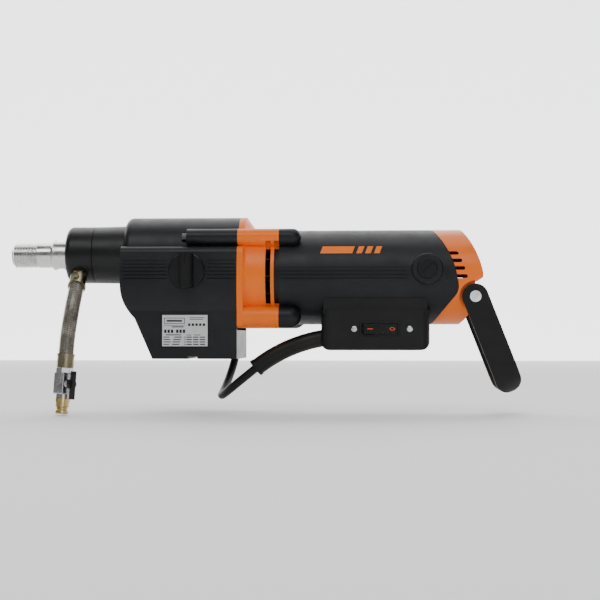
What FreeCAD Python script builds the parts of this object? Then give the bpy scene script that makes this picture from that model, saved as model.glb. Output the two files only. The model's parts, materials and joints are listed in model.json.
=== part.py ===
import FreeCAD, Part
import math
import os
import Sketcher

# Core drill motor, millimetres.  +X runs from the spindle tip to the rear handle, +Z is up and
# -Y is the side with the gear knob and the switch.  The origin is the middle of the keyway on
# the mounting face under the gearbox foot.

doc = FreeCAD.newDocument("core_drill_motor")
sheet = doc.addObject("Spreadsheet::Sheet", "Sizes")

DRIVING_SIZES = {
    # overall layout
    "motor_axis_z": 103.4,
    "spindle_axis_z": 132.9,
    "gearbox_front_x": -91.0,
    "gearbox_rear_x": 55.6,
    "flange_rear_x": 107.5,
    "motor_radius": 60.0,
    "motor_wall": 3.5,
    "cap_split_x": 295.0,
    "cap_rear_x": 362.0,
    # gearbox casting
    "barrel_radius": 47.3,
    "body_half_width": 62.0,
    "foot_half_width": 60.0,
    "foot_height": 60.0,
    "foot_front_x": -50.5,
    "shoulder_z": 141.0,
    "casting_wall": 5.0,
    "front_wall": 10.0,
    "keyway_width": 12.2,
    "keyway_depth": 3.0,
    "stand_bolt_pitch_x": 70.0,
    "stand_bolt_pitch_y": 84.0,
    "stand_bolt_radius": 4.0,
    "stand_bolt_depth": 22.0,
    # neck, water collar and spindle
    "neck_radius": 36.2,
    "neck_front_x": -132.4,
    "collar_front_x": -168.0,
    "spindle_tip_x": -241.0,
    "thread_end_x": -208.0,
    "spindle_nose_x": -190.0,
    "thread_radius": 15.875,
    "spindle_collar_radius": 19.25,
    "water_bore_radius": 5.0,
    # gear train
    "first_stage_module": 1.25,
    "speed_module": 1.5,
    "final_module": 2.0,
    "speed_gear_width": 8.0,
    "speed_gear_pitch": 9.0,
    "speed_gear_middle_x": -9.0,
    "bridge_front_x": -44.0,
    "bridge_thickness": 14.0,
    "layshaft_radius": 8.5,
    "output_shaft_radius": 10.0,
    # motor
    "core_front_x": 150.0,
    "core_length": 85.0,
    "armature_radius": 29.5,
    "air_gap": 0.6,
    "stator_radius": 52.0,
    "commutator_radius": 21.0,
    "brush_x": 292.0,
    "shaft_radius": 8.5,
    "fan_radius": 50.0,
    # controls
    "knob_x": -6.6,
    "knob_z": 109.9,
    "knob_radius": 22.4,
    "knob_height": 14.0,
    "switch_box_front_x": 160.0,
    "switch_box_rear_x": 295.0,
    "switch_box_bottom_z": 11.0,
    "switch_box_half_width": 56.0,
    # rear handle
    "handle_pivot_x": 351.2,
    "handle_pivot_z": 77.7,
    "handle_width": 32.0,
    "handle_length": 127.6,
    "handle_thickness": 10.0,
    "handle_half_span": 57.5,
    # fits
    "running_clearance": 0.05,
    "body_gap": 0.3,
}

for row, (alias, value) in enumerate(DRIVING_SIZES.items(), start=1):
    sheet.set(f"A{row}", alias.replace("_", " "))
    sheet.set(f"B{row}", str(value))
    sheet.setAlias(f"B{row}", alias)
doc.recompute()


class Size:
    """A length and the sheet expression that it comes from."""

    def __init__(self, value, text=None):
        self.value = float(value)
        self.text = text or f"{self.value:.6g}"

    def join(self, other, sign, value):
        return Size(value, f"({self.text} {sign} {as_size(other).text})")

    def __add__(self, other):
        return self.join(other, "+", self.value + float(other))

    def __sub__(self, other):
        return self.join(other, "-", self.value - float(other))

    def __mul__(self, other):
        return self.join(other, "*", self.value * float(other))

    def __truediv__(self, other):
        return self.join(other, "/", self.value / float(other))

    def __radd__(self, other):
        return as_size(other) + self

    def __rsub__(self, other):
        return as_size(other) - self

    def __rmul__(self, other):
        return as_size(other) * self

    def __neg__(self):
        return Size(0) - self

    def __float__(self):
        return self.value


def as_size(number):
    return number if isinstance(number, Size) else Size(number)


class Sheet:
    """Reads the sheet: dim.motor_radius is the Size of the cell called motor_radius."""

    def __getattr__(self, alias):
        return Size(sheet.get(alias), f"Sizes.{alias}")


dim = Sheet()
nodes = []
AXES = {
    "X": FreeCAD.Rotation(FreeCAD.Vector(0, 1, 0), 90),
    "Y": FreeCAD.Rotation(FreeCAD.Vector(1, 0, 0), -90),
    "Z": FreeCAD.Rotation(),
}


def vector(point):
    return FreeCAD.Vector(*(float(value) for value in point))


def bind(thing, name, number):
    """Set one property of an object, by expression where the sheet drives it."""
    if isinstance(number, Size):
        thing.setExpression(name, number.text)
    else:
        setattr(thing, name, number)


def place(thing, at, rotation=AXES["Z"]):
    thing.Placement = FreeCAD.Placement(vector(at), rotation)
    for letter, number in zip("xyz", at):
        thing.setExpression(f"Placement.Base.{letter}", number.text if isinstance(number, Size) else None)
    return thing


def node(label, thing):
    """Declare a finished sub-part; its label names its file."""
    thing.Label = label
    nodes.append(thing)
    return thing


# ---- primitives and booleans ------------------------------------------------------------

def rotation_of(along):
    return AXES[along] if isinstance(along, str) else along


def cylinder(name, radius, length, at, along="X"):
    rod = doc.addObject("Part::Cylinder", name)
    bind(rod, "Radius", radius)
    bind(rod, "Height", length)
    return place(rod, at, rotation_of(along))


def block(name, low, high):
    """A box from its lowest to its highest corner."""
    cuboid = doc.addObject("Part::Box", name)
    for side, start, end in zip(("Length", "Width", "Height"), low, high):
        bind(cuboid, side, as_size(end) - start)
    return place(cuboid, low)


def turned_block(name, low, high, at, rotation):
    """A box given by two corners in a frame of its own, at a point and turned."""
    corner = vector(at) + rotation.multVec(vector(low))
    return place(block(name, low, high), tuple(corner), rotation)


def ring(name, outer, inner, length, at, along="X"):
    hole = cylinder(name + "_hole", inner, length, at, along)
    return cut(name, cylinder(name + "_disc", outer, length, at, along), hole)


def fuse(name, *pieces):
    if len(pieces) == 1:
        return pieces[0]
    union = doc.addObject("Part::MultiFuse", name)
    union.Shapes = list(pieces)
    union.Refine = True
    return union


def cut(name, base, *tools):
    difference = doc.addObject("Part::Cut", name)
    difference.Base = base
    difference.Tool = fuse(name + "_tool", *tools)
    difference.Refine = True
    return difference


def common(name, *pieces):
    shared = doc.addObject("Part::MultiCommon", name)
    shared.Shapes = list(pieces)
    shared.Refine = True
    return shared


def group(name, *pieces):
    """Several separate solids in one sub-part."""
    together = doc.addObject("Part::Compound", name)
    together.Links = list(pieces)
    return together


def computed(name, shape, at=(0, 0, 0), rotation=AXES["Z"]):
    """A sub-part whose shape has no primitive or sketch feature of its own."""
    feature = doc.addObject("Part::Feature", name)
    feature.Shape = shape
    return place(feature, at, rotation)


def rounded(name, base, radius, wanted):
    """Fillet the edges of a finished shape for which wanted(edge) is true."""
    doc.recompute()
    edges = [number for number, edge in enumerate(base.Shape.Edges, start=1) if wanted(edge)]
    fillet = doc.addObject("Part::Fillet", name)
    fillet.Base = base
    fillet.Edges = [(number, float(radius), float(radius)) for number in edges]
    return fillet


# ---- sketches ---------------------------------------------------------------------------

def draw(sketch, outline):
    """Draw a closed outline of (x, y) corners in a sketch, each tied to the sheet.

    An entry (x, y, mid_x, mid_y) is reached by an arc through the middle point.
    """
    corners = [vector((corner[0], corner[1], 0)) for corner in outline]
    starts = []
    for index, corner in enumerate(outline):
        begin, end = corners[index - 1], corners[index]
        if len(corner) == 4:
            middle = vector((corner[2], corner[3], 0))
            leftwards = (middle - begin).cross(end - middle).z > 0
            ends = (begin, middle, end) if leftwards else (end, middle, begin)
            curve = Part.ArcOfCircle(*ends)
            starts.append(1 if leftwards else 2)
        else:
            curve = Part.LineSegment(begin, end)
            starts.append(1)
        item = sketch.addGeometry(curve)
        if len(corner) == 4:
            across = abs(end.x - begin.x) < abs(end.y - begin.y)
            kind, centre = ("DistanceX", curve.Center.x) if across else ("DistanceY", curve.Center.y)
            sketch.addConstraint(Sketcher.Constraint(kind, -1, 1, item, 3, centre))
    total = len(outline)
    for index in range(total):
        following = (index + 1) % total
        end = 3 - starts[index]
        sketch.addConstraint(
            Sketcher.Constraint("Coincident", index, end, following, starts[following]))
        for kind, number in zip(("DistanceX", "DistanceY"), outline[index]):
            tie = Sketcher.Constraint(kind, -1, 1, index, end, float(number))
            item = sketch.addConstraint(tie)
            if isinstance(number, Size):
                sketch.setExpression(f"Constraints[{item}]", number.text)


def origin_plane(body, role):
    return next(plane for plane in body.Origin.OriginFeatures if plane.Role == role)


def sketch_in(body, name, role, outline):
    sketch = body.newObject("Sketcher::SketchObject", name)
    sketch.AttachmentSupport = [(origin_plane(body, role), "")]
    sketch.MapMode = "FlatFace"
    draw(sketch, outline)
    return sketch


def turned(name, at, *outlines, along="X"):
    """A body turned about its own X axis from outlines of (x, radius)."""
    body = doc.addObject("PartDesign::Body", name)
    for number, outline in enumerate(outlines):
        sketch = sketch_in(body, f"{name}_profile_{number}", "XZ_Plane", outline)
        turning = body.newObject("PartDesign::Revolution", f"{name}_turning_{number}")
        turning.Profile = sketch
        turning.ReferenceAxis = (sketch, ["H_Axis"])
        turning.Angle = 360
        sketch.Visibility = False
    rotation = {"X": AXES["Z"], "Y": FreeCAD.Rotation(FreeCAD.Vector(0, 0, 1), 90),
                "Z": FreeCAD.Rotation(FreeCAD.Vector(0, 1, 0), -90)}
    return place(body, at, rotation.get(along, along) if isinstance(along, str) else along)


def prism(name, outline, along, start, length):
    """A closed outline pushed along X (drawn in Y, Z), Y (X, Z) or Z (X, Y)."""
    sketch = doc.addObject("Sketcher::SketchObject", name + "_outline")
    turns = {
        "X": FreeCAD.Rotation(FreeCAD.Vector(0, 1, 0), FreeCAD.Vector(0, 0, 1),
                              FreeCAD.Vector(1, 0, 0), "ZXY"),
        "Y": FreeCAD.Rotation(FreeCAD.Vector(1, 0, 0), 90),
        "Z": AXES["Z"],
    }
    direction = {"X": (1, 0, 0), "Y": (0, 1, 0), "Z": (0, 0, 1)}[along]
    draw(sketch, outline)
    place(sketch, [as_size(start) if part else 0 for part in direction], turns[along])
    solid = doc.addObject("Part::Extrusion", name)
    solid.Base = sketch
    solid.DirMode = "Custom"
    solid.Dir = vector(direction)
    bind(solid, "LengthFwd", as_size(length))
    solid.Solid = True
    return solid


# ---- gearbox casting --------------------------------------------------------------------

motor_z = dim.motor_axis_z
spindle_z = dim.spindle_axis_z
casting_length = dim.gearbox_rear_x - dim.gearbox_front_x
SCREW_RADIUS = 3.0
SCREW_HEAD_RADIUS = 5.0
upper_spots = [(side * 45.0, motor_z + 49.2) for side in (-1, 1)]
lower_spots = [(side * 47.0, motor_z - 51.0) for side in (-1, 1)]
boss_spots = [*upper_spots, *lower_spots]

# layshaft and output shaft centres (y, z), from the centre distances of the gear pairs
first_distance = float(dim.first_stage_module) * (10 + 44) / 2
speed_distance = float(dim.speed_module) * (16 + 44) / 2
final_distance = float(dim.final_module) * (12 + 38) / 2


def meeting_point(one, one_reach, other, other_reach, side):
    """The point at given distances from two centres, on one side of the line between them."""
    gap_y, gap_z = other[0] - one[0], other[1] - one[1]
    gap = math.hypot(gap_y, gap_z)
    along = (one_reach ** 2 - other_reach ** 2 + gap ** 2) / (2 * gap)
    off = side * math.sqrt(one_reach ** 2 - along ** 2)
    return (one[0] + (along * gap_y - off * gap_z) / gap,
            one[1] + (along * gap_z + off * gap_y) / gap)


motor_centre = (0.0, float(motor_z))
spindle_centre = (0.0, float(spindle_z))
output_centre = (21.0, spindle_centre[1] - math.sqrt(final_distance ** 2 - 21.0 ** 2))
layshaft_centre = meeting_point(motor_centre, first_distance, output_centre, speed_distance, -1)


def casting_side(inset, front, rear):
    """The gearbox seen from the side, drawn in (x, z), smaller by inset all round."""
    slope = inset * 1.1
    return [
        (dim.foot_front_x + slope, inset),
        (rear, inset),
        (rear, dim.shoulder_z - inset * 0.6),
        (front, dim.shoulder_z - inset * 0.6),
        (front, 93.0),
        (front + 18.0, 51.0 + inset * 0.4, front + 5.2, 69.0),
    ]


def casting_section(inset):
    """The gearbox seen from the front, drawn in (y, z)."""
    foot, waist = dim.foot_half_width - inset, dim.body_half_width - inset
    top = dim.shoulder_z - inset * 0.6
    crown = 9.0
    return [
        (-foot, inset), (foot, inset), (foot, dim.foot_height), (waist, dim.foot_height + 6.8),
        (waist - 1.5, top - crown, waist + 1.6, 101.0),
        (waist - crown, top, waist - 4.2, top - 2.6),
        (crown - waist, top),
        (1.5 - waist, top - crown, 4.2 - waist, top - 2.6),
        (-waist, dim.foot_height + 6.8, -waist - 1.6, 101.0),
        (-foot, dim.foot_height),
    ]


def casting_body(name, inset, front, rear):
    """Barrel round the spindle axis and wide lower body, without the bosses."""
    side = prism(name + "_side", casting_side(inset, front, rear), "Y", -70, 140)
    section = prism(name + "_section", casting_section(inset), "X", front, rear - front)
    lower = common(name + "_lower", side, section)
    radius = dim.barrel_radius - inset
    nose = 9.0
    barrel = turned(name + "_barrel", (front, 0, spindle_z),
                    [(0, 0), (0, radius - nose), (nose, radius, nose * 0.29, radius - nose * 0.29),
                     (rear - front, radius), (rear - front, 0)])
    return lower, barrel


def at_spots(name, spots, radius, start, end):
    """One cylinder along X at each of the given (y, z) spots."""
    return [cylinder(f"{name}_{index}", radius, end - start, (start, y, z))
            for index, (y, z) in enumerate(spots)]


RIB_HEIGHTS = (123.0, 118.5, 114.0, 109.5, 105.0, 100.5)
RIB_GAP = 1.3


def side_grooves(name, start, end, reach, depth):
    """Six horizontal grooves cut into both flanks, from x = start to x = end."""
    grooves = []
    for index, height in enumerate(RIB_HEIGHTS):
        for side in (-1, 1):
            low = reach - depth if side > 0 else -reach - depth
            grooves.append(block(f"{name}_{index}_{side}", (start, low, height - RIB_GAP / 2),
                                 (end, low + 2 * depth, height + RIB_GAP / 2)))
    return grooves


BEARING_OUTER = 16.0
BEARING_WIDTH = 9.0
NECK_SPIGOT_RADIUS = 33.0
ROD_Y, ROD_Z, ROD_RADIUS = -15.0, 118.0, 5.0
BOSS_FRONT_X = -8.5
HEAD_RECESS_X = -15.7
BRIDGE_SCREW_SPOTS = ((-46, 112), (46, 112), (-44, 66), (44, 66))
BRIDGE_SCREW_RADIUS = 2.2
BRIDGE_THREAD = 10.0
front = dim.gearbox_front_x
rear = dim.gearbox_rear_x
bridge_x = dim.bridge_front_x
bridge_rear = bridge_x + dim.bridge_thickness
inside_front = front + dim.front_wall
plate_x, plate_z = -9.5, 35.4
plate_half_x, plate_half_z = 28.5, 19.5

lower_body, barrel = casting_body("casting", 0, front, rear)
lower_cavity, barrel_cavity = casting_body("casting_cavity", dim.casting_wall, inside_front, rear)
lower_cavity = common("casting_sump", lower_cavity,
                      block("casting_sump_limit", (inside_front, -60, 36), (rear, 60, 150)))
output_bearing_x = front + 7.0
knob_boss = cylinder("casting_knob_boss", 12.0, 8.0, (dim.knob_x, -dim.body_half_width + 0.5,
                                                     dim.knob_z), "Y")
columns = [
    *at_spots("upper_column", upper_spots, 9.0, -22.0, rear),
    *at_spots("lower_column", lower_spots, 7.0, -22.0, 31.0),
    *[block(f"lower_column_web_{y:.0f}", (-22.0, min(y, y * 1.25), z - 7), (31.0, max(y, y * 1.25), z + 7))
      for y, z in lower_spots],
    *[block(f"bridge_lug_{index}", (bridge_x - BRIDGE_THREAD - 2.0, min(y, y * 1.3) - 4.0, z - 6),
            (bridge_x, max(y, y * 1.3) + 4.0, z + 6))
      for index, (y, z) in enumerate(BRIDGE_SCREW_SPOTS)],
]
shell = cut("casting_shell", fuse("casting_solid", lower_body, barrel,
                                  *at_spots("casting_boss", upper_spots, 10.5, BOSS_FRONT_X, rear)),
            cut("casting_hollow", fuse("casting_hollows", lower_cavity, barrel_cavity),
                *columns, knob_boss))
gearbox_cuts = [
    cylinder("neck_seat", NECK_SPIGOT_RADIUS + dim.running_clearance, dim.front_wall + 2,
             (front - 1, 0, spindle_z)),
    cylinder("output_front_seat", BEARING_OUTER, BEARING_WIDTH,
             (output_bearing_x, output_centre[0], output_centre[1])),
    cylinder("knob_shaft_bore", 6.0 + dim.running_clearance, 12.0,
             (dim.knob_x, -dim.body_half_width - 3, dim.knob_z), "Y"),
    block("foot_keyway", (-dim.keyway_width / 2, -70, -1), (dim.keyway_width / 2, 70, dim.keyway_depth)),
    block("plate_recess", (plate_x - plate_half_x - 2.5, -70, plate_z - plate_half_z - 2.5),
          (plate_x + plate_half_x + 2.5, -dim.foot_half_width + 1.2, plate_z + plate_half_z + 2.5)),
    *at_spots("casting_screw_bore", boss_spots, SCREW_RADIUS + 0.25, HEAD_RECESS_X, rear + 1),
    *at_spots("bridge_thread", BRIDGE_SCREW_SPOTS, BRIDGE_SCREW_RADIUS, bridge_x - BRIDGE_THREAD,
              bridge_x + 1),
    *side_grooves("casting_groove_front", front + 4, -32.0, dim.body_half_width + 1.0, 2.0),
    *side_grooves("casting_groove_rear", 19.0, rear - 2.5, dim.body_half_width + 1.0, 2.0),
]
gearbox_cuts += at_spots("head_recess", boss_spots, SCREW_HEAD_RADIUS + 0.6, HEAD_RECESS_X,
                         BOSS_FRONT_X + 1.0)
for side_x in (-1, 1):
    for side_y in (-1, 1):
        gearbox_cuts.append(cylinder(
            f"stand_bolt_hole_{side_x}_{side_y}", dim.stand_bolt_radius, dim.stand_bolt_depth + 1,
            (side_x * dim.stand_bolt_pitch_x / 2, side_y * dim.stand_bolt_pitch_y / 2, -1), "Z"))
for index, dot_x in enumerate((-37.2, -11.4, -3.6, 15.6, 22.7, 29.6)):
    gearbox_cuts.append(cylinder(f"speed_dot_{index}", 1.9, 3.0,
                                 (dot_x, -dim.body_half_width - 2.2, 135.7 - 5.0), "Y"))
output_boss = cut("output_boss", cylinder("output_boss_rod", BEARING_OUTER + 5.0,
                                          output_bearing_x + BEARING_WIDTH - inside_front + 1,
                                          (inside_front - 1, output_centre[0], output_centre[1])),
                  cylinder("output_boss_neck", 40.5, 40.0, (inside_front - 2, 0, spindle_z)))
gearbox_housing = node("gearbox_housing", cut(
    "gearbox_finished", fuse("casting_with_seats", shell, output_boss), *gearbox_cuts))


def bearing(name, inner, outer, width, at, along="X"):
    """A sealed ball bearing as one ring, with the shallow shield recess on each face."""
    lip, recess = (outer - inner) * 0.25, width * 0.08
    return turned(name, at, [
        (0, inner), (0, inner + lip), (recess, inner + lip), (recess, outer - lip), (0, outer - lip),
        (0, outer), (width, outer), (width, outer - lip), (width - recess, outer - lip),
        (width - recess, inner + lip), (width, inner + lip), (width, inner)], along=along)


# ---- neck, water collar, seals ----------------------------------------------------------

SPINDLE_SEAT_RADIUS = 17.5
SPINDLE_BEARING_RADIUS = 31.0
SPINDLE_BEARING_WIDTH = 14.0
SEAL_RADIUS = 27.0
SEAL_WIDTH = 7.0
collar_length = dim.neck_front_x - dim.collar_front_x
neck_length = dim.gearbox_front_x - dim.neck_front_x
spigot_end = neck_length + dim.front_wall
bearing_start = 6.4
node("spindle_neck", turned("neck_body", (dim.neck_front_x, 0, spindle_z), [
    (0, 24.0), (0, dim.neck_radius - 0.6), (0.6, dim.neck_radius),
    (neck_length, dim.neck_radius + 0.8), (neck_length, NECK_SPIGOT_RADIUS),
    (spigot_end, NECK_SPIGOT_RADIUS), (spigot_end, SPINDLE_BEARING_RADIUS),
    (bearing_start, SPINDLE_BEARING_RADIUS), (bearing_start, 24.0)]))

PORT_ANGLE = math.radians(45.6)
port_direction = (0.0, -math.cos(PORT_ANGLE), -math.sin(PORT_ANGLE))
port_rotation = FreeCAD.Rotation(FreeCAD.Vector(0, 0, 1), vector(port_direction))
port_x = dim.collar_front_x + 18.0
PORT_THREAD_RADIUS = 6.5


def on_port(distance):
    """A point on the water port's axis, at a distance from the spindle axis."""
    return (port_x, port_direction[1] * distance, spindle_z + port_direction[2] * distance)


collar_body = turned("collar_body", (dim.collar_front_x, 0, spindle_z), [
    (0, 20.2), (0, dim.neck_radius - 8.0),
    (8.0, dim.neck_radius, 2.34, dim.neck_radius - 2.34),
    (collar_length - 0.6, dim.neck_radius), (collar_length, dim.neck_radius - 0.6),
    (collar_length, SEAL_RADIUS), (26.0, SEAL_RADIUS), (26.0, 22.0), (10.0, 22.0),
    (10.0, SEAL_RADIUS), (3.0, SEAL_RADIUS), (3.0, 20.2)])
port_boss = cylinder("port_boss", 11.0, 9.0, on_port(28.5), port_rotation)
node("water_collar", cut("collar_finished", fuse("collar_with_boss", collar_body, port_boss),
                         cylinder("port_bore", PORT_THREAD_RADIUS, 30.0, on_port(18.0), port_rotation)))
seal_bore = SPINDLE_SEAT_RADIUS + dim.running_clearance
node("shaft_seals", group(
    "seals",
    ring("front_water_seal", SEAL_RADIUS, seal_bore, SEAL_WIDTH,
         (dim.collar_front_x + 3.0, 0, spindle_z)),
    ring("rear_water_seal", SEAL_RADIUS, seal_bore, SEAL_WIDTH,
         (dim.collar_front_x + 26.0, 0, spindle_z)),
    ring("neck_oil_seal", 24.0, seal_bore, 6.0, (dim.neck_front_x, 0, spindle_z))))
front_bearing_x = dim.neck_front_x + bearing_start
second_bearing_x = dim.gearbox_front_x - 6.0

# ---- spindle ----------------------------------------------------------------------------

THREAD_PITCH = 25.4 / 7
THREAD_DEPTH = 1.9
spindle_tip = dim.spindle_tip_x
thread_length = dim.thread_end_x - spindle_tip
root = dim.thread_radius - THREAD_DEPTH
spindle_line = [(0, dim.water_bore_radius), (0, dim.thread_radius - 4.2),
                (2.4, root + 0.3)]
for turn in range(8):
    crest = 3.6 + turn * THREAD_PITCH
    spindle_line += [(crest, dim.thread_radius), (crest + 0.5, dim.thread_radius),
                     (crest + 1.9, root), (crest + 2.3, root)]
nose = dim.spindle_nose_x - spindle_tip
seat_start = dim.collar_front_x + 2.0 - spindle_tip
gear_seat_start = -72.0 - spindle_tip
rear_seat_start = -46.0 - spindle_tip
spindle_end = dim.bridge_front_x + dim.bridge_thickness - 1.0 - spindle_tip
GEAR_SEAT_RADIUS = 15.0
REAR_SEAT_RADIUS = 12.5
bore_end = dim.neck_front_x - 12.0 - spindle_tip
spindle_line += [
    (thread_length, dim.thread_radius), (nose, dim.thread_radius),
    (nose + 3.4, dim.spindle_collar_radius), (seat_start, dim.spindle_collar_radius),
    (seat_start, SPINDLE_SEAT_RADIUS), (gear_seat_start, SPINDLE_SEAT_RADIUS),
    (gear_seat_start, GEAR_SEAT_RADIUS), (rear_seat_start, GEAR_SEAT_RADIUS),
    (rear_seat_start, REAR_SEAT_RADIUS), (spindle_end, REAR_SEAT_RADIUS), (spindle_end, 0),
    (bore_end, 0), (bore_end, dim.water_bore_radius)]
spindle_turned = turned("spindle_turned", (spindle_tip, 0, spindle_z), spindle_line)
flat_low = 17.0
spindle_flats = [block(f"spanner_flat_{side}", (dim.spindle_nose_x + 6.0, -25, low),
                       (dim.collar_front_x - 5.0, 25, low + 8.0))
                 for side, low in (("top", spindle_z + flat_low), ("bottom", spindle_z - flat_low - 8.0))]
cross_hole = cylinder("water_cross_hole", 3.0, 40.0, (port_x, 0, spindle_z - 20.0), "Z")
node("drill_spindle", cut("spindle_finished", spindle_turned, *spindle_flats, cross_hole))

# ---- intermediate flange ----------------------------------------------------------------

flange_rear = dim.flange_rear_x
PLATE_THICKNESS = 7.4
SLOPE_END_X = 19.4
PARTITION_THICKNESS = 20.4
SHAFT_BEARING_X = -7.6
upper_slope = turned("flange_slope", (rear + PLATE_THICKNESS, 0, spindle_z), [
    (0, 0), (0, dim.barrel_radius), (SLOPE_END_X - PLATE_THICKNESS, motor_z + dim.motor_radius - spindle_z),
    (SLOPE_END_X - PLATE_THICKNESS, 0)])
flange_plate = cut("flange_plate", fuse(
    "flange_plate_full", prism("flange_section", casting_section(0), "X", rear, PLATE_THICKNESS),
    cylinder("flange_barrel", dim.barrel_radius, PLATE_THICKNESS, (rear, 0, spindle_z))),
    block("flange_below", (rear - 1, -70, -5), (rear + PLATE_THICKNESS + 1, 70, 41.0)))
drum_rear = flange_rear - rear
flange_drum = turned("flange_drum", (rear, 0, motor_z), [
    (0, 0), (0, dim.motor_radius), (PLATE_THICKNESS, dim.motor_radius + 2.0),
    (PLATE_THICKNESS + 3.0, dim.motor_radius), (drum_rear, dim.motor_radius), (drum_rear, 0)])
UPPER_BOSS_RADIUS = 10.5
LOWER_BOSS_RADIUS = 13.8
flange_bosses = [*at_spots("flange_upper_boss", upper_spots, UPPER_BOSS_RADIUS, rear, flange_rear),
                 *at_spots("flange_lower_boss", lower_spots, LOWER_BOSS_RADIUS, rear, flange_rear)]
shaft_seats = [("layshaft", layshaft_centre), ("output", output_centre)]
seat_bosses = [cylinder(f"{name}_rear_boss", BEARING_OUTER + 3.5, -SHAFT_BEARING_X + 1.0,
                        (rear + SHAFT_BEARING_X, *centre)) for name, centre in shaft_seats]
ARMATURE_BEARING_RADIUS = 20.0
ARMATURE_BEARING_WIDTH = 12.0
chamber_radius = dim.fan_radius + 4.0
chamber_x = rear + PARTITION_THICKNESS
armature_bearing_x = rear + 6.4
window_low_x, window_high_x = 90.8, 97.0
flange_cuts = [
    cylinder("fan_chamber", chamber_radius, flange_rear - chamber_x + 1, (chamber_x, 0, motor_z)),
    cylinder("armature_front_seat", ARMATURE_BEARING_RADIUS, 20.0, (armature_bearing_x, 0, motor_z)),
    cylinder("armature_front_hole", dim.shaft_radius + 1.0, 30.0, (rear - 10.0, 0, motor_z)),
    *[cylinder(f"{name}_rear_seat", BEARING_OUTER, BEARING_WIDTH, (rear + SHAFT_BEARING_X, *centre))
      for name, centre in shaft_seats],
    cylinder("selector_rod_seat", ROD_RADIUS, 6.0, (rear - 1.0, ROD_Y, ROD_Z)),
    *at_spots("flange_screw_bore", boss_spots, SCREW_RADIUS + 0.25, rear - 1, flange_rear + 1),
]
for side in (-1, 1):
    low, high = sorted((side * 42.0, side * 66.0))
    for part, (start, end) in enumerate(((90.8, 97.2), (101.5, flange_rear + 1.0))):
        flange_cuts.append(block(f"outlet_{side}_{part}", (start, low, 66.6), (end, high, 147.5)))
node("intermediate_flange", cut("flange_finished", fuse(
    "flange_solid", upper_slope, flange_plate, flange_drum, *flange_bosses, *seat_bosses), *flange_cuts))

# ---- motor housing and rear cap ---------------------------------------------------------

cap_rear = dim.cap_rear_x
pivot = (dim.handle_pivot_x, dim.handle_pivot_z)
top_z = motor_z + dim.motor_radius + 2
low_z = motor_z - dim.motor_radius - 2
split_x = dim.cap_split_x


def split_outline(start, shift):
    """The side view ahead of the curved joint between the black housing and the cap."""
    return [
        (start, low_z), (split_x + shift, low_z), (split_x + shift + 6.2, 47.9),
        (split_x + shift + 29.8, 76.8),
        (split_x + shift + 35.4, 92.5, split_x + shift + 34.6, 84.5),
        (split_x + shift + 0.4, top_z, split_x + shift + 24.6, 130.8),
        (start, top_z)]


def cap_outline(start, inset):
    """The side view of the cap, with the notch that the handle turns in."""
    return [
        (start, motor_z - dim.motor_radius - 2), (cap_rear - 31.5 - inset, motor_z - dim.motor_radius - 2),
        (cap_rear - 23.0 - inset, 49.6 + inset), (cap_rear - 13.0 - inset, 64.0 + inset),
        (cap_rear - 10.5 - inset, 96.9 + inset), (cap_rear - 1.5 - inset, 101.0 + inset),
        (cap_rear - 1.0 - inset, 106.0), (cap_rear - 26.0 - inset, 160.7 - inset * 0.3,
                                          cap_rear - 11.4 - inset, 137.0),
        (cap_rear - 31.0 - inset, top_z), (start, top_z)]


arm_gap = 1.2
inner_arm_y = dim.handle_half_span - dim.handle_thickness - arm_gap
recess_radius = dim.handle_width / 2 + 3.6
HANDLE_LEAN = math.radians(21.5)
lean = (math.sin(HANDLE_LEAN), -math.cos(HANDLE_LEAN))
edge_x = dim.handle_pivot_x - recess_radius * -lean[1]
edge_z = dim.handle_pivot_z - recess_radius * lean[0]


def handle_recess(name, grow, low, high):
    """The pocket beside the cap that a handle arm turns in, between two y values."""
    reach = grow / math.cos(HANDLE_LEAN)
    wedge = prism(name + "_wedge", [
        (edge_x - reach, edge_z), (edge_x - reach + 45.0 * lean[0], edge_z + 45.0 * lean[1]),
        (cap_rear + 40, edge_z + 45.0 * lean[1]), (cap_rear + 40, pivot[1] + 39.4 + grow),
        (pivot[0], pivot[1] + recess_radius + grow)], "Y", low, high - low)
    disc = cylinder(name + "_disc", recess_radius + grow, as_size(high) - low, (pivot[0], low, pivot[1]), "Y")
    return [wedge, disc]


WALL = dim.motor_wall
inner_radius = dim.motor_radius - WALL
housing_tube = ring("housing_tube", dim.motor_radius, inner_radius, 240.0, (flange_rear, 0, motor_z))
housing_skin = common("housing_skin", housing_tube,
                      prism("housing_side", split_outline(flange_rear, 0), "Y", -70, 140))
BOSS_REAR_X = 135.0
housing_bosses = []
for spots, radius, label in ((upper_spots, UPPER_BOSS_RADIUS, "upper"),
                             (lower_spots, LOWER_BOSS_RADIUS, "lower")):
    for index, (y, z) in enumerate(spots):
        housing_bosses.append(turned(f"housing_{label}_boss_{index}", (flange_rear, y, z), [
            (0, 0), (0, radius), (BOSS_REAR_X - flange_rear - radius, radius),
            (BOSS_REAR_X - flange_rear, 0, BOSS_REAR_X - flange_rear - radius * 0.293, radius * 0.707)]))
BRUSH_TILT = math.radians(8.0)
brush_sides = [(-1, math.sin(BRUSH_TILT)), (1, -math.sin(BRUSH_TILT))]
BRUSH_BOSS_RADIUS = 19.5
BRUSH_BOSS_REACH = 63.0
BRUSH_BOSS_START = inner_radius + 0.12
HOLDER_RADIUS = 10.5


def brush_rotation(side):
    return FreeCAD.Rotation(FreeCAD.Vector(0, 0, 1), FreeCAD.Vector(0, side * math.cos(BRUSH_TILT),
                                                                  -side * math.sin(BRUSH_TILT)))


def brush_point(side, reach):
    """A point on a brush's axis, at a distance from the motor axis."""
    return (dim.brush_x, side * math.cos(BRUSH_TILT) * reach, motor_z - side * math.sin(BRUSH_TILT) * reach)


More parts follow.
